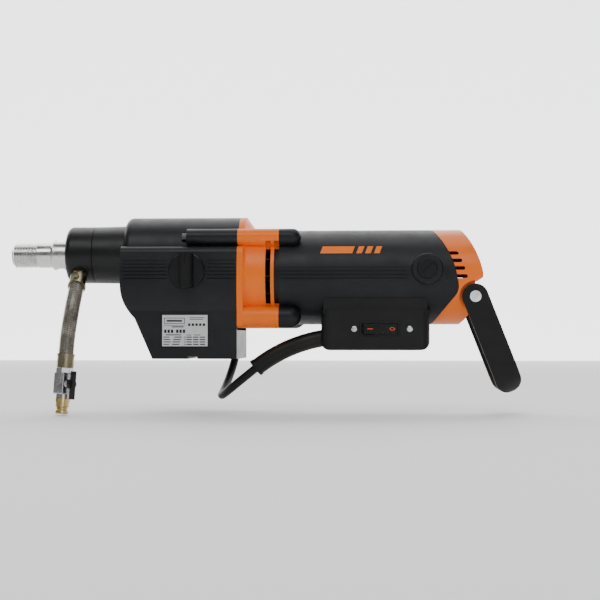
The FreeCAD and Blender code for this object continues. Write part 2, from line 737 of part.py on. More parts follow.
brush_bosses = []
brush_holes = []
boss_rooms = []
for side in (-1, 1):
    boss_rooms.append(cylinder(f"brush_boss_room_{side}", BRUSH_BOSS_RADIUS + dim.body_gap, 10.0,
                               brush_point(side, BRUSH_BOSS_START - dim.body_gap), brush_rotation(side)))
    brush_bosses.append(rounded(f"brush_boss_edge_{side}", cylinder(
        f"brush_boss_{side}", BRUSH_BOSS_RADIUS, BRUSH_BOSS_REACH - BRUSH_BOSS_START,
        brush_point(side, BRUSH_BOSS_START),
        brush_rotation(side)), 2.0, lambda edge: abs(edge.CenterOfMass.y) > 60.0
        and edge.Closed))
    brush_holes.append(cylinder(f"brush_hole_{side}", HOLDER_RADIUS + 2.2, 40.0, brush_point(side, 40.0),
                                brush_rotation(side)))
rails = []
for turn in range(4):
    rails.append(turned_block(
        f"stator_rail_{turn}", (0, -7.0, dim.stator_radius + 0.1),
        (dim.core_length, 7.0, dim.motor_radius - 1.5), (dim.core_front_x, 0, motor_z),
        FreeCAD.Rotation(FreeCAD.Vector(1, 0, 0), 45 + 90 * turn)))
rib_start, rib_end = flange_rear + 1.5, dim.brush_x - BRUSH_BOSS_RADIUS - 5.0
housing_cuts = [
    cylinder("housing_bore", inner_radius, 29.0, (flange_rear - 1, 0, motor_z)),
    *at_spots("housing_screw_thread", boss_spots, SCREW_RADIUS, flange_rear - 1, BOSS_REAR_X - 9.0),
    *side_grooves("housing_groove", rib_start, rib_end, dim.motor_radius, 1.3),
    *side_grooves("housing_groove_end", dim.brush_x + BRUSH_BOSS_RADIUS + 2.0, 319.0,
                  dim.motor_radius, 1.3),
    *brush_holes,
]
node("motor_housing", cut("housing_finished", fuse(
    "housing_solid", housing_skin, *housing_bosses, *brush_bosses, *rails), *housing_cuts))

sleeve_start = split_x - 12.0
cap_skin = cut("cap_skin", common(
    "cap_block", cylinder("cap_drum", dim.motor_radius, 120.0, (sleeve_start, 0, motor_z)),
    prism("cap_side", cap_outline(sleeve_start, 0), "Y", -70, 140)),
    cut("cap_hollow", common(
        "cap_hollow_block", cylinder("cap_hollow_drum", inner_radius - WALL, 120.0,
                                     (sleeve_start - 1, 0, motor_z)),
        prism("cap_hollow_side", cap_outline(sleeve_start - 1, WALL), "Y", -70, 140)),
        *handle_recess("cap_near_wall", WALL, -70, -inner_arm_y + WALL),
        *handle_recess("cap_far_wall", WALL, inner_arm_y - WALL, 70)))
cap_cuts = [
    cut("cap_under_housing",
        prism("cap_covered", split_outline(sleeve_start - 2, dim.body_gap), "Y", -72, 144),
        cylinder("cap_sleeve", inner_radius - dim.body_gap, 140.0, (sleeve_start - 3, 0, motor_z))),
    *handle_recess("cap_near_recess", 0, -70, -inner_arm_y),
    *handle_recess("cap_far_recess", 0, inner_arm_y, 70),
    *[cylinder(f"handle_bolt_hole_{side}", 4.1, 20.0, (pivot[0], side * inner_arm_y - 10.0, pivot[1]), "Y")
      for side in (-1, 1)],
    *brush_holes,
    *boss_rooms,
]
SLOT_HEIGHT = 4.7
for index, (slot_z, slot_end) in enumerate(((131.6, 330.9), (122.2, 335.0), (112.7, 338.5), (102.6, 341.5))):
    for side in (-1, 1):
        low, high = sorted((side * 35.0, side * 64.0))
        end = slot_end - SLOT_HEIGHT / 2
        cap_cuts.append(block(f"vent_{index}_{side}", (sleeve_start + 22.0, low, slot_z - SLOT_HEIGHT / 2),
                              (end, high, slot_z + SLOT_HEIGHT / 2)))
        cap_cuts.append(cylinder(f"vent_end_{index}_{side}", SLOT_HEIGHT / 2, high - low,
                                 (end, low, slot_z), "Y"))
node("rear_cap", cut("cap_finished", cap_skin, *cap_cuts))


# ---- gears ------------------------------------------------------------------------------

PRESSURE_ANGLE = math.radians(25)
BACKLASH = 0.10
FLANK_POINTS = 5


def involute(angle):
    return math.tan(angle) - angle


def angle_between(one, other):
    """Direction in the (y, z) plane from one centre to another."""
    return math.atan2(other[1] - one[1], other[0] - one[0])


def facing(angle, teeth):
    """The phase that puts a tooth gap opposite a tooth met at this angle."""
    return angle + math.pi + math.pi / teeth


def gear_face(teeth, module, phase):
    """The outline of an involute spur gear as a face in the (y, z) plane."""
    module = float(module)
    pitch = teeth * module / 2
    base = pitch * math.cos(PRESSURE_ANGLE)
    tip, root_circle = pitch + 0.8 * module, pitch - 1.05 * module
    start = max(base, root_circle)
    half_tooth = math.pi / (2 * teeth) - BACKLASH / 2 / pitch + involute(PRESSURE_ANGLE)

    def at(radius, angle):
        return FreeCAD.Vector(0, radius * math.cos(phase + angle), radius * math.sin(phase + angle))

    def flank_angle(radius):
        return half_tooth - involute(math.acos(min(1.0, base / radius)))

    radii = [start + (tip - start) * step / (FLANK_POINTS - 1) for step in range(FLANK_POINTS)]
    edges = []
    for tooth in range(teeth):
        middle = 2 * math.pi * tooth / teeth
        rising = [at(radius, middle - flank_angle(radius)) for radius in radii]
        falling = [at(radius, middle + flank_angle(radius)) for radius in reversed(radii)]
        root_in = at(root_circle, middle - flank_angle(start))
        root_out = at(root_circle, middle + flank_angle(start))
        next_in = at(root_circle, middle + 2 * math.pi / teeth - flank_angle(start))
        for points in (rising, falling):
            curve = Part.BSplineCurve()
            curve.interpolate(points)
            edges.append(curve.toShape())
        edges.insert(-1, Part.Arc(rising[-1], at(tip, middle), falling[0]).toShape())
        if base > root_circle:
            edges.insert(-3, Part.makeLine(root_in, rising[0]))
            edges.append(Part.makeLine(falling[-1], root_out))
        edges.append(Part.Arc(root_out, at(root_circle, middle + math.pi / teeth), next_in).toShape())
    return Part.Face(Part.Wire(Part.__sortEdges__(edges)))


def gear(name, teeth, module, width, at_x, centre, phase):
    """A solid spur gear with its axis along X."""
    shape = gear_face(teeth, module, phase).extrude(FreeCAD.Vector(float(width), 0, 0))
    return computed(name, shape, (at_x, *centre))


def windows(name, width, at_x, centre, middle, half_width=35.0):
    """Four wide pockets inside a gear's bore, for the tooth of the draw key."""
    sectors = []
    for quarter in range(4):
        sector = cylinder(f"{name}_{quarter}", KEY_TIP_RADIUS + 0.5, width, (at_x, *centre), "X")
        sector.Angle = 2 * half_width
        turn = FreeCAD.Rotation(FreeCAD.Vector(1, 0, 0), middle - half_width + 90 * quarter)
        upright = FreeCAD.Rotation(FreeCAD.Vector(0, 1, 0), 90).multiply(
            FreeCAD.Rotation(FreeCAD.Vector(0, 0, 1), 90))
        sector.Placement.Rotation = turn.multiply(upright)
        sectors.append(sector)
    return sectors


to_layshaft = angle_between(motor_centre, layshaft_centre)
to_output = angle_between(layshaft_centre, output_centre)
to_spindle = angle_between(output_centre, spindle_centre)
KEY_TIP_RADIUS = 12.8
gear_x = [dim.speed_gear_middle_x + (place_in_row - 1) * dim.speed_gear_pitch - dim.speed_gear_width / 2
          for place_in_row in range(3)]
DRIVER_TEETH = (16, 24, 34)
DRIVEN_TEETH = (44, 36, 26)
SPEED_NAMES = ("first", "second", "third")
WINDOW_MIDDLE = (0.0, 0.0, -13.1)

# layshaft with its cluster, first reduction gear and slip clutch
lay_y, lay_z = layshaft_centre
lay_front = bridge_x + 3.0
lay_rear = rear + SHAFT_BEARING_X + BEARING_WIDTH
BEARING_SEAT_RADIUS = 7.5
FIRST_GEAR_X = 35.0
FIRST_GEAR_WIDTH = 10.0
shoulder_x = FIRST_GEAR_X + FIRST_GEAR_WIDTH
lay_rod = turned("layshaft_rod", (lay_front, lay_y, lay_z), [
    (0, 0), (0, BEARING_SEAT_RADIUS), (10.0, BEARING_SEAT_RADIUS), (10.0, dim.layshaft_radius),
    (shoulder_x + 1.0 - lay_front, dim.layshaft_radius), (shoulder_x + 1.0 - lay_front, 15.0),
    (shoulder_x + 2.2 - lay_front, 15.0), (shoulder_x + 2.2 - lay_front, BEARING_SEAT_RADIUS),
    (lay_rear - lay_front, BEARING_SEAT_RADIUS), (lay_rear - lay_front, 0)])
cluster = [gear(f"cluster_gear_{teeth}", teeth, dim.speed_module, dim.speed_gear_width, x,
                layshaft_centre, to_output) for teeth, x in zip(DRIVER_TEETH, gear_x)]
cluster.append(cylinder("cluster_sleeve", dim.layshaft_radius + 1.6, gear_x[2] - gear_x[0] + 1.0,
                        (gear_x[0], lay_y, lay_z)))
node("layshaft", fuse("layshaft_solid", lay_rod, *cluster))
node("first_reduction_gear", cut("first_reduction", gear(
    "first_wheel", 44, dim.first_stage_module, FIRST_GEAR_WIDTH, FIRST_GEAR_X, layshaft_centre,
    facing(to_layshaft, 44)), cylinder("first_wheel_bore", dim.layshaft_radius + dim.running_clearance,
                                       FIRST_GEAR_WIDTH + 2, (FIRST_GEAR_X - 1, lay_y, lay_z))))
clutch_bore = dim.layshaft_radius


def disc_spring(name, x, direction):
    """A coned spring washer; direction says which face is the hollow one."""
    lift = 1.4 * direction
    return turned(name, (x, lay_y, lay_z), [
        (1.4 - lift, 8.8), (1.4 + lift, 13.5), (2.4 + lift, 13.5), (2.4 - lift, 8.8)])


node("slip_clutch_pack", group(
    "slip_clutch_pieces",
    ring("front_clutch_disc", 15.0, clutch_bore, 1.0, (FIRST_GEAR_X - 1.0, lay_y, lay_z)),
    ring("rear_clutch_disc", 15.0, clutch_bore, 1.0, (shoulder_x, lay_y, lay_z)),
    ring("pressure_plate", 14.5, clutch_bore, 3.0, (FIRST_GEAR_X - 4.0, lay_y, lay_z)),
    disc_spring("front_disc_spring", FIRST_GEAR_X - 11.9, 1),
    disc_spring("rear_disc_spring", FIRST_GEAR_X - 8.0, -1)))
nut_hole = cylinder("clutch_nut_hole", clutch_bore, 8.0, (FIRST_GEAR_X - 19.0, lay_y, lay_z))
nut_hex = doc.addObject("Part::Prism", "clutch_nut_hex")
nut_hex.Polygon = 6
nut_hex.Circumradius = 13.0
nut_hex.Height = 6.0
place(nut_hex, (FIRST_GEAR_X - 18.2, lay_y, lay_z), AXES["X"])
node("clutch_nut", cut("clutch_nut_finished", nut_hex, nut_hole))

# output shaft with its pinion, free gears, draw key and collar
out_y, out_z = output_centre
out_front = output_bearing_x
PINION_X, PINION_WIDTH = -70.0, 22.0
output_rod = turned("output_rod", (out_front, out_y, out_z), [
    (0, 0), (0, BEARING_SEAT_RADIUS), (BEARING_WIDTH, BEARING_SEAT_RADIUS),
    (BEARING_WIDTH, dim.output_shaft_radius), (lay_rear - BEARING_WIDTH - out_front, dim.output_shaft_radius),
    (lay_rear - BEARING_WIDTH - out_front, BEARING_SEAT_RADIUS),
    (lay_rear - out_front, BEARING_SEAT_RADIUS), (lay_rear - out_front, 0)])
KEY_WIDTH = 6.0
KEY_ROOT_RADIUS = 4.0
COLLAR_X = 14.0
COLLAR_LENGTH = 8.0
key_clear = dim.running_clearance
travel = dim.speed_gear_pitch
key_slot = block("key_slot", (gear_x[1] - 1.0 - travel - 1.0, out_y - KEY_WIDTH / 2 - key_clear,
                              out_z + KEY_ROOT_RADIUS - key_clear),
                 (COLLAR_X + COLLAR_LENGTH + travel + 1.0, out_y + KEY_WIDTH / 2 + key_clear, out_z + 20.0))
node("output_shaft", cut("output_shaft_finished", fuse("output_shaft_solid", output_rod, gear(
    "output_pinion", 12, dim.final_module, PINION_WIDTH, PINION_X, output_centre, to_spindle)), key_slot))
free_bore = dim.output_shaft_radius + dim.running_clearance
for name, teeth, x, middle in zip(SPEED_NAMES, DRIVEN_TEETH, gear_x, WINDOW_MIDDLE):
    wheel = gear(f"{name}_wheel", teeth, dim.speed_module, dim.speed_gear_width, x, output_centre,
                 facing(to_output, teeth))
    node(f"{name}_speed_gear", cut(f"{name}_speed_finished", wheel, cylinder(
        f"{name}_speed_bore", free_bore, 20.0, (x - 5.0, out_y, out_z)), *windows(
            f"{name}_window", dim.speed_gear_width, x, output_centre, 90.0 + middle)))
key_low_y, key_high_y = out_y - KEY_WIDTH / 2, out_y + KEY_WIDTH / 2
GROOVE_RADIUS = 13.0
node("draw_key", fuse(
    "draw_key_solid",
    block("draw_key_bar", (gear_x[1] - 1.0, key_low_y, out_z + KEY_ROOT_RADIUS),
          (COLLAR_X + COLLAR_LENGTH, key_high_y, out_z + 9.0)),
    block("draw_key_tooth", (gear_x[1] + 1.0, key_low_y, out_z + KEY_ROOT_RADIUS),
          (gear_x[1] + dim.speed_gear_width - 1.0, key_high_y, out_z + KEY_TIP_RADIUS - 0.5)),
    block("draw_key_heel", (COLLAR_X + 0.5, key_low_y, out_z + KEY_ROOT_RADIUS),
          (COLLAR_X + COLLAR_LENGTH - 0.5, key_high_y, out_z + dim.output_shaft_radius + 1.5)),
    turned("shift_collar", (COLLAR_X, out_y, out_z), [
        (0, free_bore), (0, 16.0), (1.4, 16.0), (1.4, GROOVE_RADIUS), (COLLAR_LENGTH - 1.4, GROOVE_RADIUS),
        (COLLAR_LENGTH - 1.4, 16.0), (COLLAR_LENGTH, 16.0), (COLLAR_LENGTH, free_bore)])))

# spindle gear, bearing bridge and the remaining gearbox bearings
node("spindle_gear", cut("spindle_gear_finished", gear(
    "spindle_wheel", 38, dim.final_module, 20.0, PINION_X + 1.0, spindle_centre, facing(to_spindle, 38)),
    cylinder("spindle_gear_bore", GEAR_SEAT_RADIUS, 30.0, (PINION_X - 2.0, 0, spindle_z)),
    *[cylinder(f"spindle_gear_hole_{turn}", 6.0, 30.0,
               (PINION_X - 2.0, 26.0 * math.cos(turn * math.pi / 3),
                spindle_z + 26.0 * math.sin(turn * math.pi / 3)))
      for turn in range(6)]))
bridge_low, bridge_barrel = casting_body("bridge", dim.casting_wall, bridge_x, bridge_rear)
REAR_SPINDLE_BEARING_RADIUS = 26.0
bridge_solid = common("bridge_trimmed", fuse("bridge_solid", bridge_low, cylinder(
    "bridge_top", dim.barrel_radius - dim.casting_wall, dim.bridge_thickness, (bridge_x, 0, spindle_z))),
    block("bridge_limit", (bridge_x, -80, 44.0), (bridge_rear, 80, 200)))
node("bearing_bridge", cut("bridge_finished", bridge_solid,
    cylinder("bridge_spindle_seat", REAR_SPINDLE_BEARING_RADIUS, 40.0, (bridge_x - 10, 0, spindle_z)),
    cylinder("bridge_layshaft_seat", BEARING_OUTER, BEARING_WIDTH + 20, (bridge_x + 3.0, lay_y, lay_z)),
    cylinder("bridge_layshaft_hole", BEARING_SEAT_RADIUS + 1.0, 40.0, (bridge_x - 10, lay_y, lay_z)),
    cylinder("bridge_output_hole", dim.output_shaft_radius + 2.0, 40.0, (bridge_x - 10, out_y, out_z)),
    *at_spots("bridge_screw_hole", BRIDGE_SCREW_SPOTS, BRIDGE_SCREW_RADIUS, bridge_x - 10, bridge_x + 30)))
bridge_screws = [
    fuse(f"bridge_screw_{index}", cylinder(f"bridge_screw_head_{index}", 4.0, 3.0, (bridge_rear, y, z)),
         cylinder(f"bridge_screw_stem_{index}", BRIDGE_SCREW_RADIUS - 0.05,
                  dim.bridge_thickness + BRIDGE_THREAD - 1.0,
                  (bridge_x - BRIDGE_THREAD + 1.0, y, z)))
    for index, (y, z) in enumerate(BRIDGE_SCREW_SPOTS)]
node("spindle_bearings", group(
    "spindle_bearing_set",
    bearing("outer_spindle_bearing", seal_bore, SPINDLE_BEARING_RADIUS, SPINDLE_BEARING_WIDTH,
            (front_bearing_x, 0, spindle_z)),
    bearing("inner_spindle_bearing", seal_bore, SPINDLE_BEARING_RADIUS, SPINDLE_BEARING_WIDTH,
            (second_bearing_x, 0, spindle_z)),
    bearing("rear_spindle_bearing", REAR_SEAT_RADIUS + dim.running_clearance,
            REAR_SPINDLE_BEARING_RADIUS, 13.0, (bridge_x, 0, spindle_z))))
seat_bore = BEARING_SEAT_RADIUS + dim.running_clearance
bearing_spots = [(lay_front, layshaft_centre), (rear + SHAFT_BEARING_X, layshaft_centre),
                 (out_front, output_centre), (rear + SHAFT_BEARING_X, output_centre)]
node("gear_shaft_bearings", group("gear_shaft_bearing_set", *[
    bearing(f"gear_shaft_bearing_{index}", seat_bore, BEARING_OUTER, BEARING_WIDTH, (x, *centre))
    for index, (x, centre) in enumerate(bearing_spots)]))

# selector: rod, fork, shaft with its eccentric pin, knob
node("selector_rod", cylinder("selector_rod_bar", ROD_RADIUS, rear + 4.0 - bridge_rear - 0.1,
                              (bridge_rear + 0.1, ROD_Y, ROD_Z)))
pin_reach = 12.0
PIN_RADIUS = 3.5
CAM_FACE_Y = -49.5
knob_x, knob_z = dim.knob_x, dim.knob_z
fork_x = COLLAR_X + 1.6
FORK_THICKNESS = COLLAR_LENGTH - 3.2
to_rod = angle_between(output_centre, (ROD_Y, ROD_Z))
fork_turn = FreeCAD.Rotation(FreeCAD.Vector(1, 0, 0), math.degrees(to_rod))
half = turned_block("fork_half", (0, 2.0, -22.0), (FORK_THICKNESS, 24.0, 22.0),
                    (fork_x, out_y, out_z), fork_turn)
rod_gap = math.hypot(ROD_Y - out_y, ROD_Z - out_z)
arm = turned_block("fork_arm", (0, GROOVE_RADIUS + 0.6, -6.0), (FORK_THICKNESS, rod_gap, 6.0),
                   (fork_x, out_y, out_z), fork_turn)
prongs = common("fork_prongs", ring("fork_ring", 20.0, GROOVE_RADIUS + 0.3, FORK_THICKNESS,
                                    (fork_x, out_y, out_z)), half)
fork_tube = cylinder("fork_tube", 8.0, fork_x + FORK_THICKNESS + 14.0, (-14.0, ROD_Y, ROD_Z))
fork_lug = block("fork_lug", (knob_x - 9.0, CAM_FACE_Y + 0.6, knob_z + 1.5),
                 (knob_x + 9.0, CAM_FACE_Y + 5.6, knob_z + 19.0))
fork_bar = block("fork_bar", (knob_x - 5.0, CAM_FACE_Y + 4.0, ROD_Z - 4.5), (knob_x + 5.0, ROD_Y, ROD_Z + 4.5))
node("selector_fork", cut(
    "fork_finished", fuse("fork_solid", prongs, arm, fork_tube, fork_lug, fork_bar),
    cylinder("fork_bore", ROD_RADIUS + dim.running_clearance, 80.0, (-30.0, ROD_Y, ROD_Z)),
    block("fork_pin_slot", (knob_x - PIN_RADIUS - 0.7, CAM_FACE_Y, knob_z + 3.8),
          (knob_x + PIN_RADIUS + 0.7, CAM_FACE_Y + 7.5, knob_z + 16.6))))
casting_face_y = -dim.body_half_width - 1.9
node("selector_shaft", fuse(
    "selector_shaft_solid",
    cylinder("selector_stem", 6.0, -casting_face_y + CAM_FACE_Y - 3.0, (knob_x, casting_face_y, knob_z), "Y"),
    cylinder("selector_cam", 16.0, 3.5, (knob_x, CAM_FACE_Y - 3.5, knob_z), "Y"),
    cylinder("selector_pin", PIN_RADIUS, 6.2, (knob_x, CAM_FACE_Y - 0.2, knob_z + pin_reach), "Y")))
KNOB_BASE = 5.0
knob_top_y = casting_face_y - dim.knob_height
knob_disc = turned("knob_disc", (knob_x, casting_face_y - KNOB_BASE, knob_z), [
    (0, 0), (0, dim.knob_radius - 1.2), (1.2, dim.knob_radius), (KNOB_BASE, dim.knob_radius),
    (KNOB_BASE, 0)], along="Y")
grip_half = 7.6
grip_disc = cylinder("knob_grip_round", dim.knob_radius, dim.knob_height - KNOB_BASE + 1.0,
                     (knob_x, knob_top_y, knob_z), "Y")
grip = common("knob_grip", grip_disc, prism("knob_grip_profile", [
    (knob_x - grip_half, knob_top_y + 2.0), (knob_x - grip_half + 2.4, knob_top_y),
    (knob_x + grip_half - 2.4, knob_top_y), (knob_x + grip_half, knob_top_y + 2.0),
    (knob_x + grip_half + 1.6, casting_face_y - KNOB_BASE + 1.0),
    (knob_x - grip_half - 1.6, casting_face_y - KNOB_BASE + 1.0)], "Z",
    knob_z - dim.knob_radius, dim.knob_radius * 2))
pointer = block("knob_pointer_groove", (knob_x - 0.8, knob_top_y - 1, knob_z + 8.0),
                (knob_x + 0.8, knob_top_y + 0.8, knob_z + dim.knob_radius + 1))
node("gear_knob", cut("gear_knob_finished", fuse("gear_knob_solid", knob_disc, grip), pointer))

# ---- motor ------------------------------------------------------------------------------

SHAFT_FRONT_X = 33.6
REAR_BEARING_X = 314.0
core_x = dim.core_front_x
core_end = core_x + dim.core_length
COMMUTATOR_X, COMMUTATOR_LENGTH = 278.0, 28.0
shaft_line_end = REAR_BEARING_X + 12.0
node("armature_shaft", fuse(
    "armature_shaft_solid",
    turned("armature_rod", (SHAFT_FRONT_X + 13.0, 0, motor_z), [
        (0, 0), (0, 6.5), (3.0, dim.shaft_radius), (REAR_BEARING_X - SHAFT_FRONT_X - 13.0, dim.shaft_radius),
        (REAR_BEARING_X - SHAFT_FRONT_X - 13.0, BEARING_SEAT_RADIUS),
        (shaft_line_end - SHAFT_FRONT_X - 13.0, BEARING_SEAT_RADIUS),
        (shaft_line_end - SHAFT_FRONT_X - 13.0, 0)]),
    gear("armature_pinion", 10, dim.first_stage_module, 13.0, SHAFT_FRONT_X, motor_centre, to_layshaft)))
SLOT_COUNT = 12
slot_circle = dim.armature_radius - 4.6


def round_the_motor(name, count, radius, reach, length, start, first=0.0):
    """Rods along X, spaced evenly round the motor axis."""
    return [cylinder(f"{name}_{turn}", radius, length,
                     (start, reach * math.cos(first + 2 * math.pi * turn / count),
                      motor_z + reach * math.sin(first + 2 * math.pi * turn / count)))
            for turn in range(count)]


node("armature_core", cut(
    "armature_core_finished",
    ring("armature_core_ring", dim.armature_radius, dim.shaft_radius, dim.core_length, (core_x, 0, motor_z)),
    *round_the_motor("armature_slot", SLOT_COUNT, 3.6, slot_circle, dim.core_length, core_x)))
node("armature_windings", fuse(
    "armature_windings_solid",
    *round_the_motor("armature_bar", SLOT_COUNT, 3.4, slot_circle, dim.core_length + 6.0, core_x - 3.0),
    ring("front_winding_head", slot_circle + 3.6, 12.0, 16.0, (core_x - 16.2, 0, motor_z)),
    ring("rear_winding_head", slot_circle + 3.6, 12.0, 18.0, (core_end + 0.2, 0, motor_z))))
node("commutator", cut(
    "commutator_finished",
    ring("commutator_ring", dim.commutator_radius, dim.shaft_radius, COMMUTATOR_LENGTH,
         (COMMUTATOR_X, 0, motor_z)),
    *round_the_motor("commutator_slit", 24, 0.5, dim.commutator_radius, COMMUTATOR_LENGTH, COMMUTATOR_X)))
FAN_X, FAN_BACK, BLADE_LENGTH = 80.0, 2.6, 15.0
blades = []
for turn in range(14):
    blades.append(turned_block(
        f"fan_blade_{turn}", (0, 15.0, -1.1), (BLADE_LENGTH, dim.fan_radius - 0.5, 1.1),
        (FAN_X, 0, motor_z), FreeCAD.Rotation(FreeCAD.Vector(1, 0, 0), 360.0 / 14 * turn)))
node("cooling_fan", fuse(
    "cooling_fan_solid",
    ring("fan_hub", 16.0, dim.shaft_radius, BLADE_LENGTH + FAN_BACK, (FAN_X, 0, motor_z)),
    ring("fan_disc", dim.fan_radius, 12.0, FAN_BACK, (FAN_X, 0, motor_z)), *blades))
stator_bore = dim.armature_radius + dim.air_gap
COIL_ANGLES = ((35.0, 145.0), (215.0, 325.0))
COIL_REACH, COIL_RADIUS = 40.5, 6.5
coil_rods = [cylinder(f"coil_slot_{index}", COIL_RADIUS + 0.4, dim.core_length,
                      (core_x, COIL_REACH * math.cos(math.radians(angle)),
                       motor_z + COIL_REACH * math.sin(math.radians(angle))))
             for index, angle in enumerate(angle for pair in COIL_ANGLES for angle in pair)]
node("stator_core", cut(
    "stator_core_finished",
    ring("stator_ring", dim.stator_radius, stator_bore, dim.core_length, (core_x, 0, motor_z)), *coil_rods))


def coil_head(name, x, first, last):
    """The half ring of wire that joins a coil's two sides outside the stator."""
    sector = cylinder(name + "_sector", COIL_REACH + 5.6, 11.0, (x, 0, motor_z))
    sector.Angle = last - first + 20.0
    start = FreeCAD.Rotation(FreeCAD.Vector(1, 0, 0), first - 10.0)
    sector.Placement.Rotation = start.multiply(
        FreeCAD.Rotation(FreeCAD.Vector(0, 1, 0), 90).multiply(
            FreeCAD.Rotation(FreeCAD.Vector(0, 0, 1), 90)))
    return cut(name, sector, cylinder(name + "_inside", COIL_REACH - 5.6, 11.0, (x, 0, motor_z)))


coils = []
for index, (first, last) in enumerate(COIL_ANGLES):
    sides = [cylinder(f"coil_side_{index}_{angle:.0f}", COIL_RADIUS, dim.core_length + 6.0,
                      (core_x - 3.0, COIL_REACH * math.cos(math.radians(angle)),
                       motor_z + COIL_REACH * math.sin(math.radians(angle)))) for angle in (first, last)]
    coils.append(fuse(f"field_coil_{index}", *sides, coil_head(f"coil_front_{index}", core_x - 11.5, first, last),
                      coil_head(f"coil_rear_{index}", core_end + 0.5, first, last)))
node("field_windings", group("field_coils", *coils))
node("armature_bearings", group(
    "armature_bearing_pair",
    bearing("armature_front_bearing", dim.shaft_radius + dim.running_clearance, ARMATURE_BEARING_RADIUS,
            ARMATURE_BEARING_WIDTH, (armature_bearing_x, 0, motor_z)),
    bearing("armature_rear_bearing", BEARING_SEAT_RADIUS + dim.running_clearance, BEARING_OUTER,
            BEARING_WIDTH, (REAR_BEARING_X + 1.0, 0, motor_z))))
bracket_x = REAR_BEARING_X - 4.0
node("rear_bearing_bracket", cut(
    "bracket_finished", turned("bracket_body", (bracket_x, 0, motor_z), [
        (0, 9.5), (0, inner_radius - WALL - 0.1), (6.0, inner_radius - WALL - 0.1), (6.0, 46.0), (3.5, 46.0),
        (3.5, 20.0), (15.0, 20.0), (15.0, BEARING_OUTER), (5.0, BEARING_OUTER), (5.0, 9.5)]),
    *round_the_motor("bracket_window", 6, 9.0, 33.0, 12.0, bracket_x - 2.0, math.pi / 6)))
HOLDER_START, HOLDER_END = 23.5, 54.5
holders, brushes, springs, caps = [], [], [], []
for side in (-1, 1):
    turn = brush_rotation(side)
    start = brush_point(side, HOLDER_START)
    holders.append(cut(f"brush_holder_{side}", fuse(
        f"brush_holder_solid_{side}", cylinder(f"brush_tube_{side}", HOLDER_RADIUS, HOLDER_END - HOLDER_START,
                                               start, turn),
        cylinder(f"brush_collar_{side}", HOLDER_RADIUS + 2.1, 8.0, brush_point(side, HOLDER_END - 8.0), turn)),
        cylinder(f"brush_way_{side}", 8.6, 60.0, brush_point(side, HOLDER_START - 5), turn)))
    brushes.append(turned_block(f"carbon_brush_{side}", (-5.5, -5.5, 0), (5.5, 5.5, 20.0),
                                brush_point(side, dim.commutator_radius + 0.3), turn))
    springs.append(ring(f"brush_spring_{side}", 5.0, 4.0, 12.5, brush_point(side, 41.6), turn))
    cap_slot = turned_block(f"brush_cap_slot_{side}", (-11.0, -0.8, 0), (11.0, 0.8, 2.0),
                            brush_point(side, BRUSH_BOSS_REACH + 0.2),
                            turn.multiply(FreeCAD.Rotation(FreeCAD.Vector(0, 0, 1), -side * 45.0)))
    rim = rounded(f"brush_cap_rim_{side}", cylinder(f"brush_cap_disc_{side}", HOLDER_RADIUS + 2.0, 8.6,
                  brush_point(side, HOLDER_END + 1.0), turn), 0.8,
                  lambda edge: edge.Closed and abs(edge.CenterOfMass.y) > 60.0)
    caps.append(cut(f"brush_cap_{side}", rim, cap_slot))
node("brush_holders", group("brush_holder_pair", *holders))
node("carbon_brushes", group("carbon_brush_pair", *brushes))
node("brush_springs", group("brush_spring_pair", *springs))
node("brush_caps", group("brush_cap_pair", *caps))

# ---- screws and rating plate ------------------------------------------------------------


def socket_screw(name, head_radius, head_length, radius, length, at, key=2.6):
    """A socket-head screw along +X; at is the seat under its head."""
    x, y, z = at
    socket = doc.addObject("Part::Prism", name + "_socket")
    socket.Polygon = 6
    socket.Circumradius = key
    socket.Height = head_length * 0.6
    place(socket, (x - head_length, y, z), AXES["X"])
    return cut(name, fuse(name + "_solid", cylinder(name + "_head", head_radius, head_length,
                                                    (x - head_length, y, z)),
                          cylinder(name + "_stem", radius, length, (x, y, z))), socket)


node("gearbox_screws", group("gearbox_screw_set", *bridge_screws, *[
    socket_screw(f"long_screw_{index}", SCREW_HEAD_RADIUS, 6.0, SCREW_RADIUS - 0.05,
                 BOSS_REAR_X - 12.0 - BOSS_FRONT_X, (BOSS_FRONT_X, y, z))
    for index, (y, z) in enumerate(boss_spots)]))
node("rating_plate", block(
    "rating_plate_sheet", (plate_x - plate_half_x, -dim.foot_half_width + 0.4, plate_z - plate_half_z),
    (plate_x + plate_half_x, -dim.foot_half_width + 1.2, plate_z + plate_half_z)))

# ---- switch box -------------------------------------------------------------------------

box_x, box_end, box_z = dim.switch_box_front_x, dim.switch_box_rear_x, dim.switch_box_bottom_z
box_y = -dim.switch_box_half_width
BOX_FAR_Y, BOX_TOP_Z, BOX_WALL = 44.0, 62.0, 3.0
box_outer = rounded("switch_box_rounded", block(
    "switch_box_block", (box_x, box_y, box_z), (box_end, BOX_FAR_Y, BOX_TOP_Z)), 11.0,
    lambda edge: abs(edge.BoundBox.ZLength) > 40 or (
        edge.BoundBox.ZMax < float(box_z) + 0.1 and edge.BoundBox.YLength > 40))
rim = block("switch_box_rim_block", (box_x + 3.0, box_y + 2.0, BOX_TOP_Z - 6.0),
            (box_end - 3.0, BOX_FAR_Y - 2.0, BOX_TOP_Z + 14.0))
saddle = cylinder("switch_box_saddle", dim.motor_radius + 0.1, 200.0, (box_x - 20, 0, motor_z))
frame_x, frame_end = 208.0, 258.0
frame_z, frame_top = 29.0, 46.0
rocker_x, rocker_z = (frame_x + frame_end) / 2, (frame_z + frame_top) / 2
SCREW_SPOTS = (201.6, 270.4)
sleeve_y, sleeve_z = -35.0, 25.7
SLEEVE_RADIUS, SLEEVE_START_TILT = 10.6, 10.0
